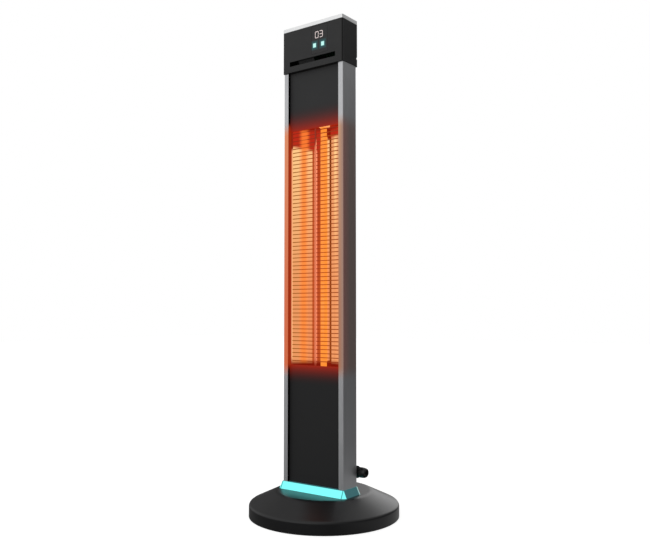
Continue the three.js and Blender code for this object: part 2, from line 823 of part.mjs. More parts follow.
const terminalBottom = glandZ + terminalRise;
const terminalTop = terminalBottom + terminalHeight;
const terminalY = housingRear - housingSheet - seatGap - terminalDepth / 2;
const terminalPitch = terminalWidth / terminalWays;
const terminalWay = (i) => terminalRight - terminalWidth + terminalPitch * (i + 0.5);

function terminalBlock() {
  const left = terminalRight - terminalWidth;
  const rear = housingRear - housingSheet - seatGap;
  const front = rear - terminalDepth;
  const [bottom, top] = [terminalBottom, terminalTop];
  let body = block(left, terminalRight, front, rear, bottom, top);
  for (let i = 0; i < terminalWays; i += 1) {
    const x = terminalWay(i);
    body = cut(body, rod(terminalPitch * 0.26, bottom - 1, top - 5, x, terminalY, 12));
    body = cut(body, rodY(terminalPitch * 0.22, front - 1, front + 4, x, (bottom + top) / 2, 12));
  }
  return body;
}

// ---- Cable gland on the housing's right side ---------------------------------------------------------
const bossEnd = housingHalfWidth + seatGap + entryBossLength;
const glandSeat = bossEnd + seatGap;
const nutStart = glandSeat + glandFlangeLength + seatGap;

function cableEntryBoss() {
  const half = entryBossHalf;
  const shape = new THREE.Shape();
  shape.absarc(glandY - half + 3, glandZ - half + 3, 3, Math.PI, 1.5 * Math.PI);
  shape.absarc(glandY + half - 3, glandZ - half + 3, 3, 1.5 * Math.PI, 2 * Math.PI);
  shape.absarc(glandY + half - 3, glandZ + half - 3, 3, 0, 0.5 * Math.PI);
  shape.absarc(glandY - half + 3, glandZ + half - 3, 3, 0.5 * Math.PI, Math.PI);
  const body = prismX(shape, housingHalfWidth + seatGap, bossEnd, 3);
  return cut(body, rodX(glandShank + slipGap, housingHalfWidth - 1, bossEnd + 1, glandY, glandZ, 16));
}

// A hexagon with two of its flats upright.
function hexagonX(acrossFlats, left, right) {
  const radius = acrossFlats / Math.sqrt(3);
  return turnedX([[0, left], [radius, left], [radius, right], [0, right]], glandY, glandZ, 6, Math.PI / 6);
}

function glandBody() {
  const inside = housingHalfWidth - housingSheet - locknutThickness - 2;
  const collet = nutStart + glandNutLength * 0.5;
  const shank = rodX(glandShank, inside, glandSeat + 1, glandY, glandZ, 20);
  const flange = hexagonX(glandFlange * 2, glandSeat, glandSeat + glandFlangeLength);
  const thread = rodX(glandShank - 0.6, glandSeat + 1, collet, glandY, glandZ, 20);
  return cut(fuse(shank, flange, thread), rodX(glandBore + 1, inside - 1, collet + 1, glandY, glandZ, 16));
}

// A domed nut with grip flats, hollow over the body's thread.
function glandNut() {
  const end = nutStart + glandNutLength;
  const steps = 5;
  const dome = [];
  const mouth = glandBore + 1.2;
  const domeStart = nutStart + glandNutLength * 0.5;
  for (let i = 0; i <= steps; i += 1) {
    const angle = (Math.PI / 2) * (i / steps);
    dome.push([
      mouth + 1 + (glandNutRadius - mouth - 1) * Math.cos(angle),
      domeStart + (end - domeStart) * Math.sin(angle)]);
  }
  const outer = turnedX([[0, nutStart], [glandNutRadius, nutStart], ...dome, [0, end]], glandY, glandZ, 24);
  const socket = glandShank - 0.6 + slipGap;
  const neck = nutStart + glandNutLength * 0.5 + slipGap;
  const bore = turnedX([
    [0, nutStart - 1], [socket, nutStart - 1], [socket, neck], [mouth, neck + 3],
    [mouth, end + 1], [0, end + 1]], glandY, glandZ, 20);
  return cut(outer, bore);
}

function glandSeal() {
  const end = nutStart + glandNutLength;
  const start = nutStart + glandNutLength * 0.5 + 4.5;
  return turnedX([
    [glandBore - 0.8, start], [glandBore + 0.9, start], [glandBore + 0.9, end - 0.8],
    [glandBore - 0.8, end - 0.8], [glandBore - 0.8, start]], glandY, glandZ, 20);
}

function glandLocknut() {
  const right = housingHalfWidth - housingSheet - seatGap;
  const nut = hexagonX(locknutFlats, right - locknutThickness, right);
  return cut(nut, rodX(glandShank + slipGap, right - locknutThickness - 1, right + 1, glandY, glandZ, 16));
}

// ---- Control head, its own heights measured from its floor -----------------------------------------------
const headHalf = headWidth / 2;
const coverFront = headRear - rearCoverThickness;
const shellTop = topPlateBottom - seatGap;

function headBracket() {
  const half = railInner - seatGap;
  const top = columnTop;
  const [front, rear] = [panelRear + 1, columnRear - 2];
  let bracket = block(-half, half, front, rear, top - bracketThickness, top);
  for (const side of [-1, 1]) {
    const [near, far] = [side * (half - bracketThickness + 1), side * half].sort((a, b) => a - b);
    bracket = fuse(bracket, block(near, far, front + 3, rear - 3, top - bracketHeight / 2, top));
  }
  return cut(bracket, rod(wiringHole, top - bracketThickness - 1, top + 1, 0, columnMidY, 20));
}

function headHousing() {
  const plan = roundedPlan(headHalf, headFront, coverFront - seatGap, headCorner, 0.5);
  const shell = prismZ(plan, 0, shellTop, 5);
  const inside = roundedPlan(
    headHalf - headWall, headFront + headWall, headRear + 10, headCorner - headWall, 0.5);
  const space = prismZ(inside, headWall, shellTop + 1, 3);
  const slot = block(-slotHalfWidth, slotHalfWidth, headFront - 1, headFront + headWall + 1,
    slotBottom, slotBottom + slotHeight);
  const lensHalf = lensWidth / 2 + seatGap;
  const opening = block(lensX - lensHalf, lensX + lensHalf, headFront - 1, headFront + headWall + 1,
    lensBottom - seatGap, lensBottom + lensHeight + seatGap);
  const wiring = rod(wiringHole, -1, headWall + 1, 0, columnMidY, 20);
  return cut(shell, space, slot, opening, wiring);
}

function headRearCover() {
  const plan = roundedPlan(headHalf, coverFront, headRear, 0.5, 2);
  let cover = prismZ(plan, 0, shellTop, 3);
  for (const side of [-1, 1]) {
    const edge = side * (headHalf + 1);
    const notch = new THREE.Shape([
      new THREE.Vector2(headRear + 1, notchBottom), new THREE.Vector2(coverFront + 0.3, notchApex),
      new THREE.Vector2(headRear + 1, notchTop)]);
    const [near, far] = [edge, side * (headHalf - 12)].sort((a, b) => a - b);
    cover = cut(cover, prismX(notch, near, far));
  }
  for (const x of [-postX, postX]) {
    for (const z of [postBottom, postBottom + postSpacing]) {
      cover = fuse(cover, rodY(postRadius, coverFront - postDepth, coverFront + 1, x, z, 10));
    }
  }
  return cut(cover, ...ventSlots(ventWidth, 3, 6.5, 6, 28, coverFront - 1, headRear + 1));
}

function topPlate() {
  const bottom = topPlateBottom;
  const plate = prismZ(roundedPlan(headHalf, headFront, headRear, headCorner, 2), bottom, headHeight, 5);
  const wall = 4;
  const pocket = roundedPlan(headHalf - wall, headFront + wall, headRear - wall, headCorner - wall / 2, 1);
  return cut(plate, prismZ(pocket, bottom - 1, headHeight - 2.5, 3));
}

// Hot-air deflector behind the left part of the slot: it rises from the floor towards the front.
function ventBaffle() {
  const floor = headWall + seatGap;
  const path = [
    [-baffleRear, floor], [-baffleRear - baffleFoot, floor],
    [headFront + headWall + baffleRise, slotBottom + slotHeight + baffleRise]];
  return prismX(sheet(path, -baffleSheet), baffleLeft, baffleRight);
}

function displayLens() {
  const half = lensWidth / 2;
  const flange = 1.6;
  const inside = headFront + headWall + seatGap;
  const [bottom, top] = [lensBottom, lensBottom + lensHeight];
  const face = block(lensX - half, lensX + half, headFront, inside + 0.5, bottom, top);
  const rim = block(lensX - half - flange, lensX + half + flange, inside, inside + 1.5,
    bottom - flange, top + flange / 4);
  const keys = [-1, 1].map((side) => {
    const x = keyX + (side * keySpacing) / 2;
    return block(x - keyWidth / 2 - seatGap, x + keyWidth / 2 + seatGap, headFront - 1, inside + 3,
      keyZ - keyHeight / 2 - seatGap, keyZ + keyHeight / 2 + seatGap);
  });
  return cut(fuse(face, rim), ...keys);
}

function touchKey(side) {
  const x = keyX + (side * keySpacing) / 2;
  const rear = headFront + headWall + seatGap + 1.5;
  return block(x - keyWidth / 2, x + keyWidth / 2, headFront, rear, keyZ - keyHeight / 2, keyZ + keyHeight / 2);
}

function displayModule() {
  const front = headFront + headWall + seatGap * 2 + 1.5;
  const boardFront = front + 7;
  const half = lensWidth / 2 + 4;
  const board = block(lensX - half, lensX + half, boardFront, boardFront + boardThickness,
    lensBottom, lensBottom + lensHeight);
  const digits = block(lensX - 14, lensX + 14, front, boardFront + 0.5, digitZ - 12, digitZ + 12);
  const lights = [-1, 1].map((side) => {
    const x = keyX + (side * keySpacing) / 2;
    return block(x - 3, x + 3, front, boardFront + 0.5, keyZ - 3, keyZ + 3);
  });
  return fuse(board, digits, ...lights);
}

const boardRear = coverFront - postDepth - seatGap;
const boardFrontFace = boardRear - boardThickness;

function controlBoard() {
  const half = headHalf - boardSideGap;
  const rear = boardFrontFace + boardThickness / 2;
  const sinkTop = sinkBottom + sinkHeight;
  const sinkEnd = sinkX + (sinkFins - 1) * sinkPitch + sinkFin;
  const parts = [block(sinkX, sinkEnd, boardFrontFace - sinkDepth / 4, rear, sinkBottom, sinkTop)];
  for (let i = 0; i < sinkFins; i += 1) {
    const x = sinkX + i * sinkPitch;
    parts.push(block(x, x + sinkFin, boardFrontFace - sinkDepth, rear, sinkBottom, sinkTop));
  }
  return fuse(block(-half, half, boardFrontFace, boardRear, boardBottom, boardBottom + boardHeight), ...parts);
}

function powerRelay() {
  const rear = boardFrontFace - seatGap;
  const front = rear - relayDepth;
  const left = boardSideGap - headHalf + relayInset;
  const right = left + relayWidth;
  const edge = relayDepth / 16;
  const plan = outline([
    [left, rear], [left, front + edge], [left + edge, front], [right - edge, front],
    [right, front + edge], [right, rear]]);
  return prismZ(plan, relayBottom, relayBottom + relayHeight);
}

function irReceiver() {
  const front = headFront + headWall + seatGap * 2 + 1.5 + 7 - seatGap;
  const body = block(lensX + 15.5, lensX + 19.5, front - 3, front, digitZ - 3, digitZ + 3);
  return fuse(body, rodY(1.8, front - 5, front - 2, lensX + 17.5, digitZ, 12));
}

// ---- Wiring ----------------------------------------------------------------------------------------------
function lead(places, radius, steps, sides) {
  const points = places.map((place) => new THREE.Vector3(...place));
  const curve = new THREE.CatmullRomCurve3(points, false, 'centripetal');
  return swept(curve.getPoints(steps), radius, sides);
}

// From the terminals up behind the reflector to a plug on the control board, with branches to
// both ends of the lamp and to the cut-out.
function wiringHarness() {
  const x = railInner - harnessInset;
  const y = columnRear - harnessRear;
  const holeY = columnMidY + wiringHole - harnessRadius - 2 * slipGap;
  const turnZ = reflectorTop + 48;
  const start = terminalTop + seatGap;
  const plugRear = boardFrontFace - seatGap;
  const plugBottom = headBottom + plugRise;
  const plugY = plugRear - plugDepth / 2;
  const trunk = lead([
    [terminalWay(2), terminalY, start], [terminalWay(2), terminalY, start + 12],
    [20, terminalY - 9, start + 30], [x - 8, y + 2, start + 52], [x, y, start + 80], [x, y, start + 110],
    [x, y, reflectorTop], [x, y, reflectorTop + 25], [x - 8, y - 3, turnZ], [22, holeY + 3, turnZ + 25],
    [0, holeY, turnZ + 45], [0, holeY, columnTop - 5], [0, holeY, headBottom + 12],
    [0, plugY - 2, plugBottom], [0, plugY, plugBottom + plugHeight / 2]], harnessRadius, 60, 8);
  const plug = block(-plugHalf, plugHalf, plugRear - plugDepth, plugRear, plugBottom, plugBottom + plugHeight);
  const stemTop = upperCapZ + lampCapFlangeHeight + lampCapLength + seatGap;
  const upper = lead([
    [0, lampY, stemTop], [0, lampY, stemTop + 10], [20, y - 3, turnZ - 7], [x - 8, y - 3, turnZ]],
    lampLeadRadius, 14, 6);
  const stemBottom = lowerCapZ - lampCapFlangeHeight - lampCapLength - seatGap;
  const lower = lead([
    [0, lampY, stemBottom], [0, lampY, stemBottom - 10], [25, y - 1, stemBottom - 20],
    [x, y, stemBottom - 34]], lampLeadRadius, 14, 6);
  const canY = lampY + reflectorFocus + reflectorThickness + 3;
  const sensor = lead([
    [cutoffRadius + seatGap, canY, cutoffZ], [cutoffRadius + 6, canY - 0.4, cutoffZ],
    [28, canY - 7, cutoffZ + 2], [42, y + 7, cutoffZ + 6], [x - 6.5, y + 3.6, cutoffZ + 10],
    [x, y, cutoffZ + 16]], lampLeadRadius * 0.8, 20, 6);
  return fuse(trunk, plug, upper, lower, sensor);
}

// From the top of the tip-over switch, through the base's wiring hole, into the first terminal.
function switchLead() {
  const bodyTop = bottomPlateTop + switchHeight + seatGap;
  return lead([
    [0, switchY, bodyTop], [0, switchY - 1, bodyTop + 5], [0, switchY - 11, bodyTop + 10],
    [0, columnMidY + 3, plateauZ - 4], [0, columnMidY, plateauZ + 2], [0, columnMidY, columnBottom + 14],
    [-8, columnMidY + 10, columnBottom + 30], [-22, terminalY - 10, terminalBottom - 12],
    [terminalWay(0), terminalY, terminalBottom - 5], [terminalWay(0), terminalY, terminalTop - 5 - seatGap]],
    switchLeadRadius, 36, 6);
}

// ---- The tower -------------------------------------------------------------------------------------------
const tower = new THREE.Group();
const base = new THREE.Group();
const column = new THREE.Group();
const head = new THREE.Group();
head.position.z = headBottom;
tower.add(base, column, head);

addPiece(base, 'base_cover', baseCover(), black, 0.5, 0.2);
addPiece(base, 'base_bottom_plate', baseBottomPlate(), 0x303236, 0.6, 0.3);
addPiece(base, 'base_ballast', baseBallast(), 0x4a4c50, 0.7, 0.6);
footPlaces.forEach(([x, y], i) => addPiece(base, `base_foot_${i + 1}`, baseFoot(x, y), rubber, 0.9, 0));
bossPlaces.forEach(([x, y], i) => addPiece(base, `base_screw_${i + 1}`, baseScrew(x, y), steel, 0.35, 0.9));
boltPlaces.forEach(([x, y], i) => addPiece(base, `column_bolt_${i + 1}`, columnBolt(x, y), steel, 0.35, 0.9));
addPiece(base, 'column_foot_bracket', columnFootBracket(), steel, 0.4, 0.9);
addPiece(base, 'tip_switch_body', tipSwitchBody(), 0xd8d4c6, 0.6, 0);
addPiece(base, 'tip_switch_plunger', tipSwitchPlunger(), 0x2c2c30, 0.5, 0);
addPiece(base, 'tip_switch_spring', tipSwitchSpring(), steel, 0.3, 0.9);
addPiece(base, 'led_collar', ledCollar(), 0x7dfffc, 0.4, 0);
addPiece(base, 'led_strip', ledStrip(), 0xe8f4f2, 0.5, 0);

addPiece(column, 'left_rail', rail(-1), aluminium, 0.35, 0.9);
addPiece(column, 'right_rail', rail(1), aluminium, 0.35, 0.9);
addPiece(column, 'lower_front_panel', frontPanel(columnBottom, windowBottom), black, 0.45, 0.3);
addPiece(column, 'upper_front_panel', frontPanel(windowTop, columnTop), black, 0.45, 0.3);
addPiece(column, 'guard_grille', guardGrille(), 0x8d8f92, 0.3, 0.9);
addPiece(column, 'reflector', reflector(), 0xffc692, 0.2, 0.9);
addPiece(column, 'reflector_end_top', reflectorEnd(reflectorTop + seatGap), 0xb0b2b4, 0.3, 0.9);
addPiece(column, 'reflector_end_bottom',
  reflectorEnd(reflectorBottom - seatGap - endPlateThickness), 0xb0b2b4, 0.3, 0.9);
addPiece(column, 'lamp_tube', lampTube(), 0xff963c, 0.1, 0);
addPiece(column, 'lamp_filament', lampFilament(), 0xffc070, 0.8, 0);
addPiece(column, 'lamp_cap_top', lampCap(upperCapZ, 1), 0xe9e4d8, 0.6, 0);
addPiece(column, 'lamp_cap_bottom', lampCap(lowerCapZ, -1), 0xe9e4d8, 0.6, 0);
addPiece(column, 'lamp_clip_top', lampClip(upperCapZ - seatGap - clipHeight), steel, 0.3, 0.9);
addPiece(column, 'lamp_clip_bottom', lampClip(lowerCapZ + seatGap), steel, 0.3, 0.9);
addPiece(column, 'thermal_cutoff', thermalCutoff(), 0x9a9ca0, 0.4, 0.8);
addPiece(column, 'heat_shield', heatShield(), aluminium, 0.4, 0.9);
addPiece(column, 'rear_cover', rearCover(), black, 0.5, 0.3);
addPiece(column, 'rear_cap_top', housingCap(housingTop + seatGap, 1), black, 0.6, 0);
addPiece(column, 'rear_cap_bottom', housingCap(housingBottom - seatGap, -1), black, 0.6, 0);
addPiece(column, 'terminal_block', terminalBlock(), 0xe9e6dc, 0.6, 0);
addPiece(column, 'cable_entry_boss', cableEntryBoss(), black, 0.6, 0);
addPiece(column, 'gland_body', glandBody(), 0x2a2b2e, 0.55, 0);
addPiece(column, 'gland_nut', glandNut(), 0x2a2b2e, 0.55, 0);
addPiece(column, 'gland_seal', glandSeal(), rubber, 0.9, 0);
addPiece(column, 'gland_locknut', glandLocknut(), 0x2a2b2e, 0.55, 0);
addPiece(column, 'head_bracket', headBracket(), steel, 0.4, 0.9);
addPiece(column, 'wiring_harness', wiringHarness(), rubber, 0.7, 0);
addPiece(column, 'switch_lead', switchLead(), rubber, 0.7, 0);

addPiece(head, 'head_housing', headHousing(), black, 0.45, 0.3);
addPiece(head, 'head_rear_cover', headRearCover(), black, 0.5, 0.3);
addPiece(head, 'top_plate', topPlate(), aluminium, 0.3, 0.9);
addPiece(head, 'vent_baffle', ventBaffle(), 0x606266, 0.5, 0.6);
addPiece(head, 'display_lens', displayLens(), 0x1c1d20, 0.15, 0);
addPiece(head, 'touch_key_left', touchKey(-1), 0xbfe9ee, 0.4, 0);
addPiece(head, 'touch_key_right', touchKey(1), 0xbfe9ee, 0.4, 0);
addPiece(head, 'display_module', displayModule(), 0x355a3c, 0.6, 0);
addPiece(head, 'control_board', controlBoard(), 0x2f5a3a, 0.6, 0);
addPiece(head, 'power_relay', powerRelay(), 0x2350a0, 0.5, 0);
addPiece(head, 'ir_receiver', irReceiver(), 0x141416, 0.3, 0);

export default tower;
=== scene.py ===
import math
import bmesh
import bpy
from mathutils import Matrix, Vector


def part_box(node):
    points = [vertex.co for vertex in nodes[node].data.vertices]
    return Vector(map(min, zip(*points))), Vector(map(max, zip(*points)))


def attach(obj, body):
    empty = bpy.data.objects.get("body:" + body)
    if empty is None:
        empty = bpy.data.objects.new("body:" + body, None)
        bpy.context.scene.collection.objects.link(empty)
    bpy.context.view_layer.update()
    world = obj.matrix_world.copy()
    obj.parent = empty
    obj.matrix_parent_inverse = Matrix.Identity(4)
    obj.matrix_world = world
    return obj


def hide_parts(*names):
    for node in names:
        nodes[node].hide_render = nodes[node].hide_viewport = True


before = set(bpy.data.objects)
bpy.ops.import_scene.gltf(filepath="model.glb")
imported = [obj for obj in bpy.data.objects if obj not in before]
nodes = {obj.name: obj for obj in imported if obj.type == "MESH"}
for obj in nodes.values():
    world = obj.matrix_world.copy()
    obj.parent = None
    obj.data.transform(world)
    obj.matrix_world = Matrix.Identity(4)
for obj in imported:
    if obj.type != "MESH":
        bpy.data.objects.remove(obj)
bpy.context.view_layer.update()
mm = 0.001
towerBody = "tower"
plungerBody = "tip_switch_plunger"
print("frame loaded:", len(nodes), "nodes")


def linear(hexColour):
    # sRGB hex to the linear colour that shaders use
    parts = [int(hexColour[i:i + 2], 16) / 255 for i in (1, 3, 5)]
    return tuple(p / 12.92 if p <= 0.04045 else ((p + 0.055) / 1.055) ** 2.4 for p in parts) + (1.0,)


def addNode(tree, kind, inputs=None, **settings):
    node = tree.nodes.new("ShaderNode" + kind)
    for name, value in settings.items():
        setattr(node, name, value)
    for socket, value in (inputs or {}).items():
        if isinstance(value, bpy.types.NodeSocket):
            tree.links.new(value, node.inputs[socket])
        else:
            node.inputs[socket].default_value = value
    return node


def bandsAcross(tree, across, halfWidth, bands):
    # colours from left to right, each at its distance from the middle in mm
    share = addNode(tree, "MapRange", {"Value": across, "From Min": -halfWidth * mm,
                                       "From Max": halfWidth * mm}).outputs[0]
    ramp = addNode(tree, "ValToRGB", {"Fac": share})
    stops = ramp.color_ramp.elements
    while len(stops) < len(bands):
        stops.new(1.0)
    for stop, (x, colour) in zip(stops, bands):
        stop.position = (x / halfWidth + 1) / 2
        stop.color = linear(colour)
    return ramp.outputs[0]


# Noise seldom leaves low to high, so that span is stretched over the whole range
texture = {"detail": 3.0, "patchDetail": 2.0, "roughness": 0.55, "low": 0.3, "high": 0.7}


def surface(name, look):
    # grain and patch are real sizes in mm, relief is the depth of the grain
    material = bpy.data.materials.new(name)
    material.use_nodes = True
    tree = material.node_tree
    shader = tree.nodes["Principled BSDF"]
    place = addNode(tree, "TexCoord").outputs["Object"]
    stretched = addNode(tree, "Mapping", {"Vector": place, "Scale": look.get("stretch", (1, 1, 1))}).outputs[0]
    grain = addNode(tree, "TexNoise", {
        "Vector": stretched, "Scale": 1 / (look["grain"] * mm), "Detail": texture["detail"],
        "Roughness": texture["roughness"]}).outputs[0]
    patch = addNode(tree, "TexNoise", {"Vector": place, "Scale": 1 / (look["patch"] * mm),
                                       "Detail": texture["patchDetail"]}).outputs[0]
    spread = addNode(tree, "MapRange", {"Value": patch, "From Min": texture["low"],
                                        "From Max": texture["high"]}).outputs[0]
    colour = addNode(tree, "Mix", {0: spread, 6: linear(look["colour"]), 7: linear(look["shade"])},
                     data_type="RGBA").outputs[2]
    low, high = look["roughness"]
    rough = addNode(tree, "MapRange", {"Value": grain, "From Min": texture["low"], "From Max": texture["high"],
                                       "To Min": low, "To Max": high}).outputs[0]
    bump = addNode(tree, "Bump", {"Height": grain, "Strength": 1.0, "Distance": look["relief"] * mm}).outputs[0]
    tree.links.new(colour, shader.inputs["Base Color"])
    tree.links.new(rough, shader.inputs["Roughness"])
    tree.links.new(bump, shader.inputs["Normal"])
    shader.inputs["Metallic"].default_value = look.get("metallic", 0.0)
    shader.inputs["IOR"].default_value = look.get("ior", 1.5)
    return {"material": material, "tree": tree, "shader": shader, "place": place, "colour": colour}


def glowBand(tree, height, low, high, soft):
    # 1 between two places along an axis in mm, fading over soft mm outside them
    rise = addNode(tree, "MapRange", {"Value": height, "From Min": (low - soft) * mm, "From Max": low * mm},
                   interpolation_type="SMOOTHSTEP").outputs[0]
    fall = addNode(tree, "MapRange", {"Value": height, "From Min": high * mm, "From Max": (high + soft) * mm,
                                      "To Min": 1.0, "To Max": 0.0}, interpolation_type="SMOOTHSTEP").outputs[0]
    return addNode(tree, "Math", {0: rise, 1: fall}, operation="MULTIPLY").outputs[0]


def awayFrom(tree, value, centre):
    # distance of a coordinate from a centre, in metres
    off = addNode(tree, "Math", {0: value, 1: centre}, operation="SUBTRACT").outputs[0]
    return addNode(tree, "Math", {0: off}, operation="ABSOLUTE").outputs[0]


def lampImageShare(tree, across, look):
    # 1 on the lamp's second image in the trough, fading beside it
    start, full = look["imageSpan"]
    off = awayFrom(tree, across, look["image"] * mm)
    return addNode(tree, "MapRange", {"Value": off, "From Min": start * mm, "From Max": full * mm},
                   interpolation_type="SMOOTHSTEP").outputs[0]


def facingY(tree):
    # -1 on faces that look forward, 1 on those that look back
    normal = addNode(tree, "NewGeometry").outputs["Normal"]
    return addNode(tree, "SeparateXYZ", {0: normal}).outputs["Y"]


def litBy(finish, colour):
    # the finish gives off this colour
    finish["tree"].links.new(colour, finish["shader"].inputs["Emission Color"])
    finish["shader"].inputs["Emission Strength"].default_value = 1.0


keyPlace = {"x": (6.7, 27.1), "z": 950.0}  # the middles of the two lit keys


def keysNear(tree, place, half, soft):
    # 1 inside an upright rectangle round each key's middle, fading over soft mm outside it
    spot = addNode(tree, "SeparateXYZ", {0: place})
    share = 0.0
    for keyX in keyPlace["x"]:
        gaps = []
        for axis, centre, reach in (("X", keyX, half[0]), ("Z", keyPlace["z"], half[1])):
            off = awayFrom(tree, spot.outputs[axis], centre * mm)
            gaps.append(addNode(tree, "Math", {0: off, 1: reach * mm}, operation="SUBTRACT").outputs[0])
        far = addNode(tree, "Math", {0: gaps[0], 1: gaps[1]}, operation="MAXIMUM").outputs[0]
        close = addNode(tree, "MapRange", {"Value": far, "From Min": soft * mm, "From Max": 0.0},
                        interpolation_type="SMOOTHSTEP").outputs[0]
        share = addNode(tree, "Math", {0: share, 1: close}, operation="MAXIMUM").outputs[0]
    return share


# Camera and studio
view = {"azimuth": 36.49, "pitch": 2.9, "place": (0.9184, -1.2384, 0.4051), "lens": 41.65, "sensor": 36.0}
turn, tilt = math.radians(view["azimuth"]), math.radians(view["pitch"])
forward = Vector((-math.sin(turn) * math.cos(tilt), math.cos(turn) * math.cos(tilt), math.sin(tilt)))
cameraData = bpy.data.cameras.new("photoCamera")
cameraData.lens = view["lens"]
cameraData.sensor_width = view["sensor"]
cameraData.sensor_fit = "HORIZONTAL"
camera = bpy.data.objects.new("photoCamera", cameraData)
camera.location = view["place"]
camera.rotation_euler = forward.to_track_quat("-Z", "Y").to_euler()
bpy.context.scene.collection.objects.link(camera)
bpy.context.scene.camera = camera
bpy.context.scene.view_settings.view_transform = "Standard"

# Each soft box: direction, cosine where it starts, cosine where it is full, strength. The floor is in
# metres, and its bounce goes from side to side by x + y, one way near the object and one way far from it
studio = {
    "base": 0.09,
    "boxes": [
        ((-0.60, -0.80, 0.28), -0.1, 0.9, 0.60),
        ((-0.24, 0.91, 0.34), 0.90, 0.985, 1.3),
        ((0.45, -0.85, 0.30), 0.3, 0.95, 0.20),
        ((0.2, 0.4, 0.9), 0.62, 0.95, 0.45),
    ],
    "background": 1.0,
    "floorHalf": 9.0,
    "floorWhite": 0.80,
    "floorDiffuse": 0.55,
    "bounceNear": (0.12, 0.34),
    "nearSpan": (0.0, 0.15),
    "bounceFar": (0.22, 0.11),
    "farSpan": (-0.6, 0.6),
    "nearToFar": (0.3, 0.5),
}
world = bpy.data.worlds.new("studioLight")
bpy.context.scene.world = world
world.use_nodes = True
tree = world.node_tree
direction = addNode(tree, "TexCoord").outputs["Generated"]
total = studio["base"]
for aim, start, full, strength in studio["boxes"]:
    cosine = addNode(tree, "VectorMath", {0: direction, 1: tuple(Vector(aim).normalized())},
                     operation="DOT_PRODUCT").outputs["Value"]
    share = addNode(tree, "MapRange", {"Value": cosine, "From Min": start, "From Max": full,
                                       "To Max": strength}, interpolation_type="SMOOTHSTEP").outputs[0]
    total = addNode(tree, "Math", {0: total, 1: share}, operation="ADD").outputs[0]
cameraRay = addNode(tree, "LightPath").outputs["Is Camera Ray"]
level = addNode(tree, "Mix", {0: cameraRay, 2: total, 3: studio["background"]}, data_type="FLOAT").outputs[0]
background = tree.nodes["Background"]
background.inputs["Color"].default_value = (1.0, 1.0, 1.0, 1.0)
tree.links.new(level, background.inputs["Strength"])

floorMesh = bpy.data.meshes.new("studioFloor")
bm = bmesh.new()
bmesh.ops.create_grid(bm, x_segments=8, y_segments=8, size=studio["floorHalf"])
bm.to_mesh(floorMesh)
bm.free()
floor = bpy.data.objects.new("studioFloor", floorMesh)
bpy.context.scene.collection.objects.link(floor)
floorMaterial = bpy.data.materials.new("paleStudioFloor")
floorMaterial.use_nodes = True
tree = floorMaterial.node_tree
tree.nodes.remove(tree.nodes["Principled BSDF"])
place = addNode(tree, "TexCoord").outputs["Object"]
spot = addNode(tree, "SeparateXYZ", {0: place})
diagonal = addNode(tree, "Math", {0: spot.outputs["X"], 1: spot.outputs["Y"]}, operation="ADD").outputs[0]
near, far = [
    addNode(tree, "MapRange", {"Value": diagonal, "From Min": studio[span][0], "From Max": studio[span][1],
                               "To Min": studio[level][0], "To Max": studio[level][1]}).outputs[0]
    for span, level in (("nearSpan", "bounceNear"), ("farSpan", "bounceFar"))]
distance = addNode(tree, "VectorMath", {0: place}, operation="LENGTH").outputs["Value"]
outside = addNode(tree, "MapRange", {"Value": distance, "From Min": studio["nearToFar"][0],
                                     "From Max": studio["nearToFar"][1]}).outputs[0]
bounce = addNode(tree, "Mix", {0: outside, 2: near, 3: far}, data_type="FLOAT").outputs[0]
cameraRay = addNode(tree, "LightPath").outputs["Is Camera Ray"]
seen = addNode(tree, "Mix", {0: cameraRay, 2: bounce, 3: studio["floorWhite"]}, data_type="FLOAT").outputs[0]
paper = addNode(tree, "Mix", {0: cameraRay, 2: 0.0, 3: studio["floorDiffuse"]}, data_type="FLOAT").outputs[0]
glow = addNode(tree, "Emission", {"Strength": seen}).outputs[0]
matte = addNode(tree, "BsdfDiffuse", {"Color": paper}).outputs[0]
both = addNode(tree, "AddShader", {0: glow, 1: matte}).outputs[0]
tree.links.new(both, tree.nodes["Material Output"].inputs["Surface"])
floorMesh.materials.append(floorMaterial)
print("camera, light and floor ready")


def startMesh():
    return bmesh.new()


def addBox(bm, low, high):
    size = [(b - a) * mm for a, b in zip(low, high)]
    middle = [(a + b) / 2 * mm for a, b in zip(low, high)]
    place = Matrix.Translation(middle) @ Matrix.Diagonal((*size, 1.0))
    bmesh.ops.create_cube(bm, size=1.0, matrix=place)


def rounded(bm, width, segments=2, sharpest=30):
    # eases every edge that turns more than sharpest degrees, width in mm
    edges = [e for e in bm.edges if len(e.link_faces) == 2 and e.calc_face_angle(0) > math.radians(sharpest)]
    bmesh.ops.bevel(bm, geom=edges, offset=width * mm, offset_type="OFFSET", segments=segments, profile=0.5,
                    affect="EDGES", clamp_overlap=True, material=-1)
    return bm


def addTurned(bm, profile, steps=96, centre=(0, 0, 0), along="Z"):
    # profile is [radius, height] in mm, turned about an axis through centre
    other = startMesh()
    corners = [other.verts.new((r * mm, 0, h * mm)) for r, h in profile]
    edges = [other.edges.new(pair) for pair in zip(corners, corners[1:])]
    bmesh.ops.spin(other, geom=corners + edges, cent=(0, 0, 0), axis=(0, 0, 1), dvec=(0, 0, 0),
                   angle=math.tau, steps=steps, use_merge=True, use_duplicate=False)
    bmesh.ops.remove_doubles(other, verts=other.verts, dist=1e-7)
    place = Matrix.Translation([c * mm for c in centre])
    if along == "X":
        place = place @ Matrix.Rotation(math.pi / 2, 4, "Y")
    bmesh.ops.transform(other, matrix=place, verts=other.verts)
    bmesh.ops.recalc_face_normals(other, faces=other.faces)
    joined = bpy.data.meshes.new("turned")
    other.to_mesh(joined)
    other.free()
    bm.from_mesh(joined)
    bpy.data.meshes.remove(joined)
    return bm


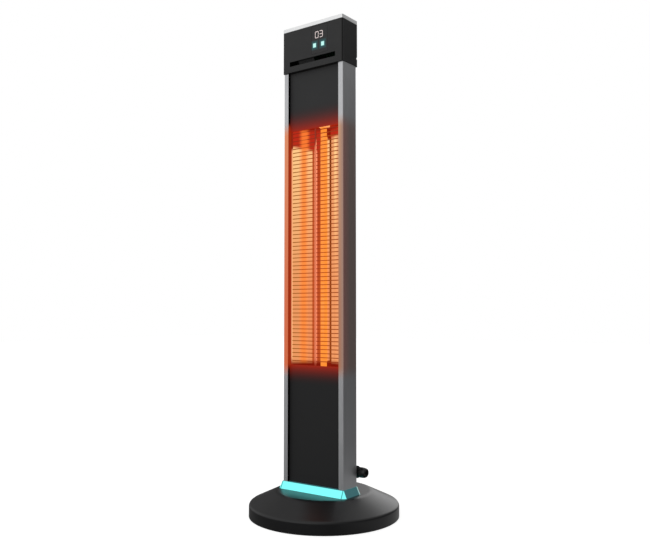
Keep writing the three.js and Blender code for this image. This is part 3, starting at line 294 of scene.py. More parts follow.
def copied(node):
    # a merged copy of a CAD node with its flat faces made whole
    bm = startMesh()
    bm.from_mesh(nodes[node].data)
    bmesh.ops.remove_doubles(bm, verts=bm.verts, dist=1e-6)
    bmesh.ops.dissolve_limit(bm, angle_limit=math.radians(1.0), verts=bm.verts, edges=bm.edges)
    return bm


def addPiece(name, bm, finish, covers=(), body=towerBody, smooth=40, recalc=False):
    if recalc:
        bmesh.ops.recalc_face_normals(bm, faces=bm.faces)
    mesh = bpy.data.meshes.new(name)
    bm.to_mesh(mesh)
    bm.free()
    for polygon in mesh.polygons:
        polygon.use_smooth = True
    mesh.set_sharp_from_angle(angle=math.radians(smooth))
    mesh.materials.append(finish["material"])
    obj = bpy.data.objects.new(name, mesh)
    bpy.context.scene.collection.objects.link(obj)
    flats = obj.modifiers.new("flatFacesStayFlat", "WEIGHTED_NORMAL")  # the shading bends only at eased edges
    flats.keep_sharp = True
    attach(obj, body)
    if covers:
        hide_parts(*covers)
    return obj


# Plain finishes, each named for its real material and how it was made. The grain of paint, plating and
# mouldings is about 0.1 mm, too fine to show, so it is drawn near 1 mm and shallow.

# powder coat: satin black with a broad soft highlight
powderCoat = surface("powderCoatSatinBlack", {
    "colour": "#131314", "shade": "#18181a", "grain": 1.2, "patch": 60, "roughness": (0.28, 0.36),
    "relief": 0.012})
# moulded ABS: even dark grey, its spark texture keeps highlights dull
headLook = {
    "colour": "#202021", "shade": "#262627", "grain": 0.9, "patch": 40, "roughness": (0.42, 0.54),
    "relief": 0.010, "turn": (72.4, 73.2), "turnSide": (-60, -39.8, 0.5), "turnColour": "#040405",
    "catch": (75.4, 75.8), "catchSide": (-38.8, -36.6, 0.4), "catchColour": "#3a3a3c"}
headAbs = surface("mouldedAbsBlack", headLook)
# painted shade darkens it round its front corners, and a painted highlight lies just behind them
tree = headAbs["tree"]
spot = addNode(tree, "SeparateXYZ", {0: headAbs["place"]})
across = addNode(tree, "Math", {0: spot.outputs["X"]}, operation="ABSOLUTE").outputs[0]
tone = headAbs["colour"]
for edge in ("turn", "catch"):
    start, full = headLook[edge]
    share = addNode(tree, "MapRange", {"Value": across, "From Min": start * mm,
                                       "From Max": full * mm}).outputs[0]
    share = addNode(tree, "Math", {0: share, 1: glowBand(tree, spot.outputs["Y"], *headLook[edge + "Side"])},
                    operation="MULTIPLY").outputs[0]
    tone = addNode(tree, "Mix", {0: share, 6: tone, 7: linear(headLook[edge + "Colour"])},
                   data_type="RGBA").outputs[2]
tree.links.new(tone, headAbs["shader"].inputs["Base Color"])
# textured paint on sheet steel: duller than the powder coat, with a grain that shows close by
rearPaint = surface("texturedPaintBlack", {
    "colour": "#202021", "shade": "#272728", "grain": 1.5, "patch": 50, "roughness": (0.45, 0.58),
    "relief": 0.03})
# moulded nylon: black with small tight highlights
nylon = surface("mouldedNylonBlack", {
    "colour": "#141415", "shade": "#1b1b1c", "grain": 0.8, "patch": 12, "roughness": (0.22, 0.34),
    "relief": 0.01})
# moulded rubber: matt, with almost no highlight
rubber = surface("mouldedRubber", {
    "colour": "#161616", "shade": "#1e1e1e", "grain": 1.0, "patch": 8, "roughness": (0.7, 0.85),
    "relief": 0.03})
# zinc plate: pale bluish metal, a little cloudy
zinc = surface("zincPlatedSteel", {
    "colour": "#b4b7bb", "shade": "#9da1a6", "grain": 2.5, "patch": 9, "roughness": (0.26, 0.42),
    "relief": 0.01, "metallic": 1.0})
# cast iron under primer: rough and grey
castIron = surface("castIronPrimed", {
    "colour": "#4a4c50", "shade": "#3b3d40", "grain": 2.2, "patch": 20, "roughness": (0.6, 0.8),
    "relief": 0.12, "metallic": 0.5})
# brushed aluminium: near white, with brush lines from side to side, and a faint grey painted glow that lifts
# its tone
topLook = {
    "colour": "#ffffff", "shade": "#f4f5f6", "grain": 0.8, "patch": 60, "stretch": (0.04, 1, 1),
    "roughness": (0.28, 0.4), "relief": 0.004, "metallic": 1.0, "paintedFillGlow": 0.09}
topPaint = surface("brushedAluminiumTop", topLook)
paintedFillGlow, shader = topLook["paintedFillGlow"], topPaint["shader"]
shader.inputs["Emission Color"].default_value = (paintedFillGlow, paintedFillGlow, paintedFillGlow, 1.0)
shader.inputs["Emission Strength"].default_value = 1.0
# natural nylon: off-white and waxy
whiteNylon = surface("mouldedNylonWhite", {
    "colour": "#dedbd0", "shade": "#cfcbbe", "grain": 1.0, "patch": 12, "roughness": (0.4, 0.55),
    "relief": 0.01})
# solder mask over copper: green with darker tracks
boardFinish = surface("solderMaskGreen", {
    "colour": "#2f5b3c", "shade": "#25492f", "grain": 2.5, "patch": 5, "roughness": (0.3, 0.5),
    "relief": 0.02})
# hot-dip zinc: grey with large soft spangle
galvanised = surface("galvanisedSheet", {
    "colour": "#b9bcbe", "shade": "#9a9da0", "grain": 6, "patch": 18, "roughness": (0.35, 0.55),
    "relief": 0.01, "metallic": 0.9})
# moulded polyester: the usual blue of a relay's case
relayBlue = surface("mouldedPolyesterBlue", {
    "colour": "#2350a0", "shade": "#1c4388", "grain": 1.0, "patch": 8, "roughness": (0.4, 0.55),
    "relief": 0.01})
print("plain finishes ready")

# Anodised rails: satin metal with fine lines along the extrusion, with the lamp's light painted on beside the
# window and painted shade on the face inside the panel groove
railLook = {
    "colour": "#d9dadc", "shade": "#cfd0d3", "grain": 0.7, "patch": 120, "stretch": (1, 1, 0.02),
    "roughness": (0.30, 0.42), "relief": 0.004, "metallic": 0.9, "solidCorner": 2.0, "corner": 3.0,
    "glowLow": 305, "glowHigh": 772, "glowSoft": 32, "innerHigh": 788, "toneTop": 790, "toneBottom": 430,
    "innerEdge": 63.75, "innerReach": 3, "innerFrom": (-38.7, -38.2), "outerReach": 9,
    "frontFacing": (-0.35, -0.95), "sideFade": (-38, -15), "frontBase": "#6f5f55", "sideBase": "#c8b4ae",
    "leftGlow": ("#ce794e", "#c6592e"), "rightGlow": ("#bc8a62", "#9e5f3b"), "outerGlow": "#8c6c5f",
    "sideGlow": "#3e0c04", "innerPaintedShade": "#0b0b0c", "innerGlow": "#9a2c0e"}
rails = surface("anodisedExtrusion", railLook)
tree = rails["tree"]
spot = addNode(tree, "SeparateXYZ", {0: rails["place"]})
across = addNode(tree, "Math", {0: spot.outputs["X"]}, operation="ABSOLUTE").outputs[0]
band = glowBand(tree, spot.outputs["Z"], railLook["glowLow"], railLook["glowHigh"], railLook["glowSoft"])
start, full = railLook["frontFacing"]
front = addNode(tree, "MapRange", {"Value": facingY(tree), "From Min": start, "From Max": full},
                interpolation_type="SMOOTHSTEP").outputs[0]
near = addNode(tree, "Math", {0: across, 1: (railLook["innerEdge"] + railLook["innerReach"]) * mm},
               operation="LESS_THAN").outputs[0]
start, full = railLook["innerFrom"]
behind = addNode(tree, "MapRange", {"Value": spot.outputs["Y"], "From Min": start * mm,
                                    "From Max": full * mm}).outputs[0]
inner = addNode(tree, "Math", {0: near, 1: behind}, operation="MULTIPLY").outputs[0]
# beside the window the metal's colour is a painted tint of the lamp's light, darker on the front than on the
# side, and the face inside the panel groove is painted near black as painted shade
paintedLampTint = addNode(tree, "Mix", {0: front, 6: linear(railLook["sideBase"]), 7: linear(railLook["frontBase"])},
               data_type="RGBA").outputs[2]
colour = rails["colour"]
for share, over in ((band, paintedLampTint), (inner, linear(railLook["innerPaintedShade"]))):
    colour = addNode(tree, "Mix", {0: share, 6: colour, 7: over}, data_type="RGBA").outputs[2]
tree.links.new(colour, rails["shader"].inputs["Base Color"])

# the front glows most, then the face beside the window, and the side only behind its corner
innerBand = glowBand(tree, spot.outputs["Z"], railLook["glowLow"], railLook["innerHigh"],
                     railLook["glowSoft"] / 2)
start, full = railLook["sideFade"]
rearward = addNode(tree, "MapRange", {"Value": spot.outputs["Y"], "From Min": start * mm, "From Max": full * mm,
                                      "To Min": 1.0, "To Max": 0.0}).outputs[0]
litFront, litInner, litSide = [
    addNode(tree, "Math", {0: first, 1: second}, operation="MULTIPLY").outputs[0]
    for first, second in ((band, front), (innerBand, inner), (rearward, band))]
outward = addNode(tree, "MapRange", {
    "Value": spot.outputs["X"], "From Min": railLook["innerEdge"] * mm,
    "From Max": (railLook["innerEdge"] + railLook["outerReach"]) * mm}).outputs[0]
lower = addNode(tree, "MapRange", {"Value": spot.outputs["Z"], "From Min": railLook["toneTop"] * mm,
                                   "From Max": railLook["toneBottom"] * mm}).outputs[0]
leftGlow, rightGlow = [
    addNode(tree, "Mix", {0: lower, 6: linear(railLook[key][0]), 7: linear(railLook[key][1])},
            data_type="RGBA").outputs[2] for key in ("leftGlow", "rightGlow")]
rightGlow = addNode(tree, "Mix", {0: outward, 6: rightGlow, 7: linear(railLook["outerGlow"])},
                    data_type="RGBA").outputs[2]
onRight = addNode(tree, "Math", {0: spot.outputs["X"], 1: 0.0}, operation="GREATER_THAN").outputs[0]
frontGlow = addNode(tree, "Mix", {0: onRight, 6: leftGlow, 7: rightGlow}, data_type="RGBA").outputs[2]
glow = (0.0, 0.0, 0.0, 1.0)
for share, over in ((litSide, linear(railLook["sideGlow"])), (litFront, frontGlow),
                    (litInner, linear(railLook["innerGlow"]))):
    glow = addNode(tree, "Mix", {0: share, 6: glow, 7: over}, data_type="RGBA").outputs[2]
litBy(rails, glow)

# Painted front panels: satin black, a painted shade darker on the lower panel, a faint painted fill glow, and
# the lamp's red light painted beside the window
panelLook = {
    "colour": "#2e2e2f", "shade": "#303031", "grain": 1.0, "patch": 70, "roughness": (0.45, 0.55),
    "relief": 0.008, "ior": 1.3, "lowerPanelPaintedShade": "#222223", "paintedFillGlow": "#181818", "lowerPaintedFillGlow": "#101010",
    "windowTop": 783, "windowBottom": 300.5, "middle": 550, "reach": 55, "lowReach": 44, "falloff": 3.0,
    "red": "#981e08", "darkNearWindow": "#0c0504", "darkNearWindowFalloff": 0.5}
panelPaint = surface("paintedSteelPanel", panelLook)
tree = panelPaint["tree"]
height = addNode(tree, "SeparateXYZ", {0: panelPaint["place"]}).outputs["Z"]
below, above = [
    addNode(tree, "MapRange", {"Value": height, "From Min": edge * mm, "From Max": (edge + reach) * mm,
                               "To Min": 1.0, "To Max": 0.0}).outputs[0]
    for edge, reach in ((panelLook["windowBottom"], -panelLook["lowReach"]),
                        (panelLook["windowTop"], panelLook["reach"]))]
upper = addNode(tree, "Math", {0: height, 1: panelLook["middle"] * mm}, operation="GREATER_THAN").outputs[0]
near = addNode(tree, "Mix", {0: upper, 2: below, 3: above}, data_type="FLOAT").outputs[0]
near = addNode(tree, "Math", {0: near, 1: panelLook["falloff"]}, operation="POWER").outputs[0]
# the paint is darker towards the window, under the painted red light
darkNearWindow = addNode(tree, "Math", {0: near, 1: panelLook["darkNearWindowFalloff"]}, operation="POWER").outputs[0]
# painted shade makes the lower panel's paint darker, and the faint painted fill glow is lower there too
paint, paintedFillGlow = [
    addNode(tree, "Mix", {0: upper, 6: linear(panelLook[low]), 7: high}, data_type="RGBA").outputs[2]
    for low, high in (("lowerPanelPaintedShade", panelPaint["colour"]), ("lowerPaintedFillGlow", linear(panelLook["paintedFillGlow"])))]
paint, glow = [
    addNode(tree, "Mix", {0: share, 6: under, 7: linear(panelLook[over])}, data_type="RGBA").outputs[2]
    for share, under, over in ((darkNearWindow, paint, "darkNearWindow"), (near, paintedFillGlow, "red"))]
tree.links.new(paint, panelPaint["shader"].inputs["Base Color"])
litBy(panelPaint, glow)

# Polished reflector: a painted reflection of the lamp on each flat of the trough, by its distance from the
# middle
reflectorLook = {
    "colour": "#ffffff", "shade": "#f4e8dc", "grain": 5, "patch": 40, "stretch": (1, 1, 0.05),
    "roughness": (0.12, 0.25), "relief": 0.01, "metallic": 1.0, "halfWidth": 64, "toneTop": 735,
    "toneLow": 470, "leftSpan": (-60, -32), "leftTop": (751, 744), "rightSpan": (-24, -18), "rightTop": 771,
    "soft": 7, "image": -46.5, "imageSpan": (9, 2), "topRed": "#b82c1a", "topImage": "#fa7a34",
    "ends": (312, 784, 12), "endRed": "#7c1608", "back": "#c8c4be", "trough": "#301008"}
# Each tone as it is near the lamp's top end and beside its middle
tones = {
    "bright": ("#ffca8a", "#ec9a62"), "cream": ("#fec082", "#f0925c"), "peach": ("#feb474", "#f89656"),
    "orange": ("#fd9346", "#fd8e42"), "red": ("#b03c16", "#bc4e22"), "pink": ("#e28458", "#d4643e"),
    "streak": ("#ff966e", "#f07e58"), "crease": ("#6a2806", "#8a3c12"), "fold": ("#f0a26c", "#f09c66"),
    "far": ("#e2a878", "#e89e6c")}
bands = [(-62.8, "red"), (-62, "bright"), (-55, "bright"), (-52.2, "peach"), (-49.4, "orange"),
         (-45.6, "orange"), (-42.4, "peach"), (-40.5, "cream"), (-35.4, "cream"), (-34.2, "red"),
         (-32.8, "red"), (-32, "pink"), (-29.4, "pink"), (-28.8, "streak"), (-27, "streak"),
         (-26.2, "red"), (-21, "red"), (-19, "cream"), (-1.6, "cream"), (-0.6, "crease"),
         (3.4, "crease"), (4.6, "fold"), (10.6, "fold"), (13, "bright"), (19, "bright"), (24, "far"),
         (29, "far"), (46, "orange"), (54, "cream"), (61, "cream"), (63, "red")]
mirror = surface("polishedReflectorSheet", reflectorLook)
tree = mirror["tree"]
spot = addNode(tree, "SeparateXYZ", {0: mirror["place"]})
highTone, lowTone = [
    bandsAcross(tree, spot.outputs["X"], reflectorLook["halfWidth"], [(x, tones[key][i]) for x, key in bands])
    for i in (0, 1)]
lower = addNode(tree, "MapRange", {"Value": spot.outputs["Z"], "From Min": reflectorLook["toneTop"] * mm,
                                   "From Max": reflectorLook["toneLow"] * mm}).outputs[0]
lit = addNode(tree, "Mix", {0: lower, 6: highTone, 7: lowTone}, data_type="RGBA").outputs[2]

# above the lamp's winding the trough is painted red, with a painted image of the lamp in it
(start, full), (outerTop, innerTop) = reflectorLook["leftSpan"], reflectorLook["leftTop"]
leftTop = addNode(tree, "MapRange", {"Value": spot.outputs["X"], "From Min": start * mm, "From Max": full * mm,
                                     "To Min": outerTop * mm, "To Max": innerTop * mm}).outputs[0]
start, full = reflectorLook["rightSpan"]
right = addNode(tree, "MapRange", {"Value": spot.outputs["X"], "From Min": start * mm,
                                   "From Max": full * mm}).outputs[0]
litTop = addNode(tree, "Mix", {0: right, 2: leftTop, 3: reflectorLook["rightTop"] * mm},
                 data_type="FLOAT").outputs[0]
over = addNode(tree, "Math", {0: spot.outputs["Z"], 1: litTop}, operation="SUBTRACT").outputs[0]
topFade = addNode(tree, "MapRange", {"Value": over, "From Min": -0.5 * reflectorLook["soft"] * mm,
                                     "From Max": reflectorLook["soft"] * mm},
                  interpolation_type="SMOOTHSTEP").outputs[0]
lampImage = lampImageShare(tree, spot.outputs["X"], reflectorLook)
topColour = addNode(tree, "Mix", {0: lampImage, 6: linear(reflectorLook["topRed"]),
                                  7: linear(reflectorLook["topImage"])}, data_type="RGBA").outputs[2]
# painted light: near the trough's ends it turns deep red, and the outside of the sheet gives off nothing
endFade = glowBand(tree, spot.outputs["Z"], *reflectorLook["ends"])
inside = addNode(tree, "Math", {0: facingY(tree), 1: 0.0}, operation="LESS_THAN").outputs[0]
lit = addNode(tree, "Mix", {0: topFade, 6: lit, 7: topColour}, data_type="RGBA").outputs[2]
for share, outer in ((endFade, linear(reflectorLook["endRed"])), (inside, (0.0, 0.0, 0.0, 1.0))):
    lit = addNode(tree, "Mix", {0: share, 6: outer, 7: lit}, data_type="RGBA").outputs[2]
litBy(mirror, lit)
# inside the trough the polished metal is painted dark red-brown under the painted reflection; the back keeps
# its own pale grey
sheet = addNode(tree, "Mix", {0: inside, 6: linear(reflectorLook["back"]), 7: linear(reflectorLook["trough"])},
                data_type="RGBA").outputs[2]
tree.links.new(sheet, mirror["shader"].inputs["Base Color"])


def glowing(name, look):
    # a plain finish with an emission that varies a little
    finish = surface(name, look)
    tree = finish["tree"]
    mix = addNode(tree, "TexNoise", {"Vector": finish["place"],
                                     "Scale": 1 / (look["glowPatch"] * mm)}).outputs[0]
    finish["lit"] = addNode(tree, "Mix", {0: mix, 6: linear(look["glow"]), 7: linear(look["glowShade"])},
                            data_type="RGBA").outputs[2]
    litBy(finish, finish["lit"])
    return finish


# clear quartz with the winding's light in it
quartz = glowing("quartzTubeGlowing", {
    "colour": "#281006", "shade": "#301408", "grain": 8, "patch": 30, "roughness": (0.05, 0.12),
    "relief": 0.002, "glow": "#ff9a3c", "glowShade": "#ff8c30", "glowPatch": 25})
# woven carbon, the brightest thing in the window
carbon = glowing("carbonWindingGlowing", {
    "colour": "#30150a", "shade": "#3a1c10", "grain": 0.6, "patch": 5, "roughness": (0.6, 0.8),
    "relief": 0.02, "glow": "#ffd27c", "glowShade": "#ffb85a", "glowPatch": 8})
# pressed steatite, pale, so it takes all the lamp's light, given as a painted glow
lampLitCeramic = glowing("steatiteCeramicLit", {
    "colour": "#3a1d10", "shade": "#462414", "grain": 1.2, "patch": 6, "roughness": (0.45, 0.6),
    "relief": 0.02, "glow": "#ffb470", "glowShade": "#ff9c54", "glowPatch": 10})
# the trough's end plates and the lamp's clips, with the lamp's light painted on as a deep red glow at its ends
lampLitEndPlate = glowing("endPlateLit", {
    "colour": "#301008", "shade": "#38140a", "grain": 3, "patch": 20, "roughness": (0.3, 0.45),
    "relief": 0.01, "metallic": 0.6, "glow": "#a82610", "glowShade": "#8c1c0a", "glowPatch": 20})
lampLitSpringSteel = glowing("springSteelLit", {
    "colour": "#4a1c10", "shade": "#3c160c", "grain": 2, "patch": 9, "roughness": (0.3, 0.45),
    "relief": 0.01, "metallic": 0.7, "glow": "#8c1c08", "glowShade": "#701606", "glowPatch": 10})

# Guard: drawn steel wire with a painted glow standing in for the light of what lies behind it
guardLook = {
    "colour": "#2c1c0c", "shade": "#34200e", "grain": 1.0, "patch": 20, "roughness": (0.35, 0.5),
    "relief": 0.01, "metallic": 0.5, "glow": "#7c5a28", "glowShade": "#6e4c20", "glowPatch": 40,
    "halfWidth": 64, "step": 4, "top": (742, 766), "topSoft": 8, "ends": (318, 900, 18), "image": -29,
    "imageSpan": (12, 4), "endRed": "#8c1e0c", "endImage": "#c45a1c"}
guardPaintedLight = [(-63.4, "#b04c2a"), (-61.6, "#bc5a36"), (-60.8, "#fcb47e"), (-59.3, "#fcb47e"),
             (-58.6, "#94520c"), (-43, "#94520c"), (-36, "#b04200"), (-25, "#b04200"), (-18, "#a24404"),
             (-12, "#a24404"), (-6, "#9e3c04"), (-2.2, "#9e3600"), (-1.9, "#dc7450"), (1.6, "#dc7450"),
             (1.9, "#ff9670"), (2.1, "#ff9670"), (2.4, "#962400"), (10, "#962800"), (12, "#af4400"),
             (30, "#af4400"), (33, "#9a4400"), (57, "#8a2c00"), (59.2, "#e0985f"), (63.4, "#d88a54")]
guardSteel = glowing("guardSteelLit", guardLook)
tree = guardSteel["tree"]
spot = addNode(tree, "SeparateXYZ", {0: guardSteel["place"]})
paintedWireLight = bandsAcross(tree, spot.outputs["X"], guardLook["halfWidth"], guardPaintedLight)
leftTop, rightTop = guardLook["top"]
litTop = addNode(tree, "MapRange", {
    "Value": spot.outputs["X"], "From Min": 0.0, "From Max": guardLook["step"] * mm,
    "To Min": leftTop * mm, "To Max": rightTop * mm}).outputs[0]
over = addNode(tree, "Math", {0: spot.outputs["Z"], 1: litTop}, operation="SUBTRACT").outputs[0]
under = addNode(tree, "MapRange", {"Value": over, "From Min": 0.0, "From Max": guardLook["topSoft"] * mm,
                                   "To Min": 1.0, "To Max": 0.0}).outputs[0]
fade = addNode(tree, "Math", {0: glowBand(tree, spot.outputs["Z"], *guardLook["ends"]), 1: under},
               operation="MULTIPLY").outputs[0]
overImage = lampImageShare(tree, spot.outputs["X"], guardLook)
ends = addNode(tree, "Mix", {0: overImage, 6: linear(guardLook["endRed"]), 7: linear(guardLook["endImage"])},
               data_type="RGBA").outputs[2]
paintedWireLight = addNode(tree, "Mix", {0: fade, 6: ends, 7: paintedWireLight}, data_type="RGBA").outputs[2]
litBy(guardSteel, paintedWireLight)

# Light guide: edge-lit acrylic, brightest on its front and back, with dark mitres at its corners
collarLook = {
    "colour": "#27494d", "shade": "#2d5256", "grain": 1.5, "patch": 20, "roughness": (0.3, 0.42),
    "relief": 0.004, "glow": "#7dfffc", "glowShade": "#7afdfa", "glowPatch": 60, "facing": (0.35, 0.6),
    "side": "#2f5a5e", "rearLine": "#a9cfca", "rearEdge": (3.6, 5.0), "heights": (50.2, 64.3),
    "mitre": (75.2, 74.8), "mitreSpan": (0.7, 1.5), "mitreLeast": 0.1, "mitreColour": "#1c8c8e"}
collarGlow = glowing("acrylicLightGuide", collarLook)
tree = collarGlow["tree"]
facing = addNode(tree, "Math", {0: facingY(tree)}, operation="ABSOLUTE").outputs[0]
start, full = collarLook["facing"]
bright = addNode(tree, "MapRange", {"Value": facing, "From Min": start, "From Max": full},
                 interpolation_type="SMOOTHSTEP").outputs[0]
spot = addNode(tree, "SeparateXYZ", {0: collarGlow["place"]})
(bottom, top), (lowMitre, highMitre) = collarLook["heights"], collarLook["mitre"]
mitre = addNode(tree, "MapRange", {"Value": spot.outputs["Z"], "From Min": bottom * mm, "From Max": top * mm,
                                   "To Min": lowMitre * mm, "To Max": highMitre * mm}).outputs[0]
apart = addNode(tree, "Math", {0: spot.outputs["X"]}, operation="ABSOLUTE").outputs[0]
apart = awayFrom(tree, apart, mitre)
start, full = collarLook["mitreSpan"]
line = addNode(tree, "MapRange", {"Value": apart, "From Min": start * mm, "From Max": full * mm,
                                  "To Min": collarLook["mitreLeast"], "To Max": 1.0}).outputs[0]
start, full = collarLook["rearEdge"]
rearEdge = addNode(tree, "MapRange", {"Value": spot.outputs["Y"], "From Min": start * mm,
                                      "From Max": full * mm}).outputs[0]
side = addNode(tree, "Mix", {0: rearEdge, 6: linear(collarLook["side"]), 7: linear(collarLook["rearLine"])},
               data_type="RGBA").outputs[2]
lit = addNode(tree, "Mix", {0: bright, 6: side, 7: collarGlow["lit"]}, data_type="RGBA").outputs[2]
lit = addNode(tree, "Mix", {0: line, 6: linear(collarLook["mitreColour"]), 7: lit}, data_type="RGBA").outputs[2]
litBy(collarGlow, lit)

# Key caps: frosted acrylic over a lamp, white in the middle and teal at the edge
keyLook = {
    "colour": "#203436", "shade": "#243a3c", "grain": 0.8, "patch": 4, "roughness": (0.2, 0.3),
    "relief": 0.002, "glow": "#c8fff6", "glowShade": "#b4f6ee", "glowPatch": 5, "edge": "#13484b",
    "core": (2.9, 3.4), "soft": 1.6}
keyGlow = glowing("acrylicKeyLit", keyLook)
tree = keyGlow["tree"]
core = keysNear(tree, keyGlow["place"], keyLook["core"], keyLook["soft"])
lit = addNode(tree, "Mix", {0: core, 6: linear(keyLook["edge"]), 7: keyGlow["lit"]},
              data_type="RGBA").outputs[2]
litBy(keyGlow, lit)
# the display's lit strokes, a warm white
figureGlow = glowing("displayFigureLit", {
    "colour": "#302c2c", "shade": "#343030", "grain": 0.8, "patch": 4, "roughness": (0.3, 0.4),
    "relief": 0.002, "glow": "#fff0ec", "glowShade": "#f4e2de", "glowPatch": 4})
print("lit finishes ready")

# Base: one turned shell with a small blend where the slope meets the flat
base = {"radius": 151.3, "bottom": 0.5, "rim": 26.2, "fillet": 6, "filletSteps": 12, "flatRadius": 96,
        "flat": 50, "wall": 3, "blend": 5, "blendSteps": 8, "steps": 160}
slope = math.atan2(base["flat"] - base["rim"], base["radius"] - base["flatRadius"])
inner = base["radius"] - base["wall"]
profile = [(0, base["flat"] - base["wall"]), (base["flatRadius"] - base["wall"], base["flat"] - base["wall"]),
           (inner, base["rim"] - base["wall"] * 1.4), (inner, base["bottom"] + 0.2),
           (inner + 0.4, base["bottom"]), (base["radius"] - 0.3, base["bottom"]),
           (base["radius"] - 0.1, base["bottom"] + 0.1), (base["radius"], base["bottom"] + 0.4)]
for i in range(base["filletSteps"] + 1):
    angle = (math.pi / 2 - slope) * i / base["filletSteps"]
    profile.append((base["radius"] - base["fillet"] + base["fillet"] * math.cos(angle),
                    base["rim"] - base["fillet"] * math.cos(slope) + base["fillet"] * math.sin(angle)))
for i in range(base["blendSteps"] + 1):
    t = i / base["blendSteps"]
    outer = base["flatRadius"] + base["blend"] * (1 - t) ** 2 - base["blend"] * t ** 2
    profile.append((outer, base["flat"] - base["blend"] * math.tan(slope) * (1 - t) ** 2))
profile.append((0, base["flat"]))
addPiece("base_shell", addTurned(startMesh(), profile, base["steps"]), powderCoat, ["base_cover"],
         smooth=30)

# Feet: moulded rubber with a dimple under each and a peg up into the plate
foot = {"radius": 9, "height": 1.8, "peg": 3.6, "pegTop": 6.5, "circle": 134, "dimple": 3}
footProfile = [(0, 0.5), (foot["dimple"], 0.5), (foot["dimple"] + 0.5, 0), (foot["radius"] - 1, 0),
               (foot["radius"] - 0.3, 0.3), (foot["radius"], 1.0), (foot["radius"], foot["height"] - 0.2),
               (foot["radius"] - 0.2, foot["height"]), (foot["peg"], foot["height"]),
               (foot["peg"], foot["pegTop"] - 0.5), (foot["peg"] - 0.5, foot["pegTop"]), (0, foot["pegTop"])]
for i in range(4):
    angle = math.radians(45 + 90 * i)
    centre = (foot["circle"] * math.cos(angle), foot["circle"] * math.sin(angle), 0)
    addPiece(f"rubber_foot_{i + 1}", addTurned(startMesh(), footProfile, 48, centre), rubber,
             [f"base_foot_{i + 1}"])


def carved(bm, cutter):
    # cuts one closed mesh from another
    first, second = bpy.data.meshes.new("carvedBody"), bpy.data.meshes.new("carvedTool")
    bm.to_mesh(first)
    cutter.to_mesh(second)
    bodyObject = bpy.data.objects.new("carvedBody", first)
    toolObject = bpy.data.objects.new("carvedTool", second)
    for obj in (bodyObject, toolObject):
        bpy.context.scene.collection.objects.link(obj)
    modifier = bodyObject.modifiers.new("carve", "BOOLEAN")
    modifier.operation, modifier.solver, modifier.object = "DIFFERENCE", "EXACT", toolObject
    done = bpy.data.meshes.new_from_object(bodyObject.evaluated_get(bpy.context.evaluated_depsgraph_get()))
    bm.clear()
    bm.from_mesh(done)
    cutter.free()
    for obj in (bodyObject, toolObject):
        bpy.data.objects.remove(obj)
    for mesh in (first, second, done):
        bpy.data.meshes.remove(mesh)
    return bm


def screwHead(radius, height):
    # a pan head with a cross recess, its rim on z = 0 and its crown up
    bm = addTurned(startMesh(), [
        (0, 0), (radius, 0), (radius, height * 0.35), (radius * 0.93, height * 0.68),
        (radius * 0.75, height * 0.9), (radius * 0.5, height), (0, height)], 32)
    arm, width, floorOfCross = radius * 0.55, radius * 0.12, height * 0.45
    for x, y in ((arm, width), (width, arm)):
        cross = startMesh()
        addBox(cross, (-x, -y, floorOfCross), (x, y, height + 1))
        bm = carved(bm, cross)
    return bm


def scattered(shape, places):
    # copies of one small shape, each set by its own matrix
    mesh = bpy.data.meshes.new("scattered")
    shape.to_mesh(mesh)
    shape.free()
    bm = startMesh()
    for place in places:
        before = len(bm.verts)
        bm.from_mesh(mesh)
        bm.verts.ensure_lookup_table()
        bmesh.ops.transform(bm, matrix=place, verts=bm.verts[before:])
    bpy.data.meshes.remove(mesh)
    return bm


def placed(x, y, z, towards):
    # +Z of the shape turned to face a direction
    turned = Vector((0, 0, 1)).rotation_difference(Vector(towards)).to_matrix().to_4x4()
    return Matrix.Translation((x * mm, y * mm, z * mm)) @ turned


# Base screws: heads under the plate, shanks up into the shell's bosses
baseScrew = {"circle": 125, "radius": 4.2, "headTop": 1.8, "headHeight": 1.6, "shank": 1.9, "length": 20}
for i in range(4):
    angle = math.radians(90 * i)
    x, y = baseScrew["circle"] * math.cos(angle), baseScrew["circle"] * math.sin(angle)
    bm = scattered(screwHead(baseScrew["radius"], baseScrew["headHeight"]),
                   [placed(x, y, baseScrew["headTop"], (0, 0, -1))])
    addTurned(bm, [(0, baseScrew["headTop"] - 0.05), (baseScrew["shank"], baseScrew["headTop"] - 0.05),
                   (baseScrew["shank"], baseScrew["headTop"] + baseScrew["length"] - 2),
                   (0, baseScrew["headTop"] + baseScrew["length"])], 24, (x, y, 0))
    addPiece(f"base_screw_head_{i + 1}", bm, zinc, [f"base_screw_{i + 1}"])
print("base ready")

# Switch plunger: a rod with a rounded tip, a collar that the spring bears on and a pin inside the spring
plunger = {"y": 9, "rod": 3.5, "collar": 6, "collarFrom": 7, "collarTo": 5, "pin": 2.2}
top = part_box("tip_switch_plunger")[1][2] / mm
shoulder, seat = top - plunger["collarFrom"], top - plunger["collarTo"]
addPiece("tip_plunger", addTurned(startMesh(), [
    (0, 0), (1.6, 0.05), (2.6, 0.4), (3.2, 1.0), (plunger["rod"], 1.8), (plunger["rod"], shoulder),
    (plunger["collar"], shoulder), (plunger["collar"], seat - 0.3), (plunger["collar"] - 0.3, seat),
    (plunger["pin"], seat), (plunger["pin"], top - 0.4), (plunger["pin"] - 0.4, top), (0, top)], 48,
    (0, plunger["y"], 0)), nylon, ["tip_switch_plunger"], body=plungerBody)

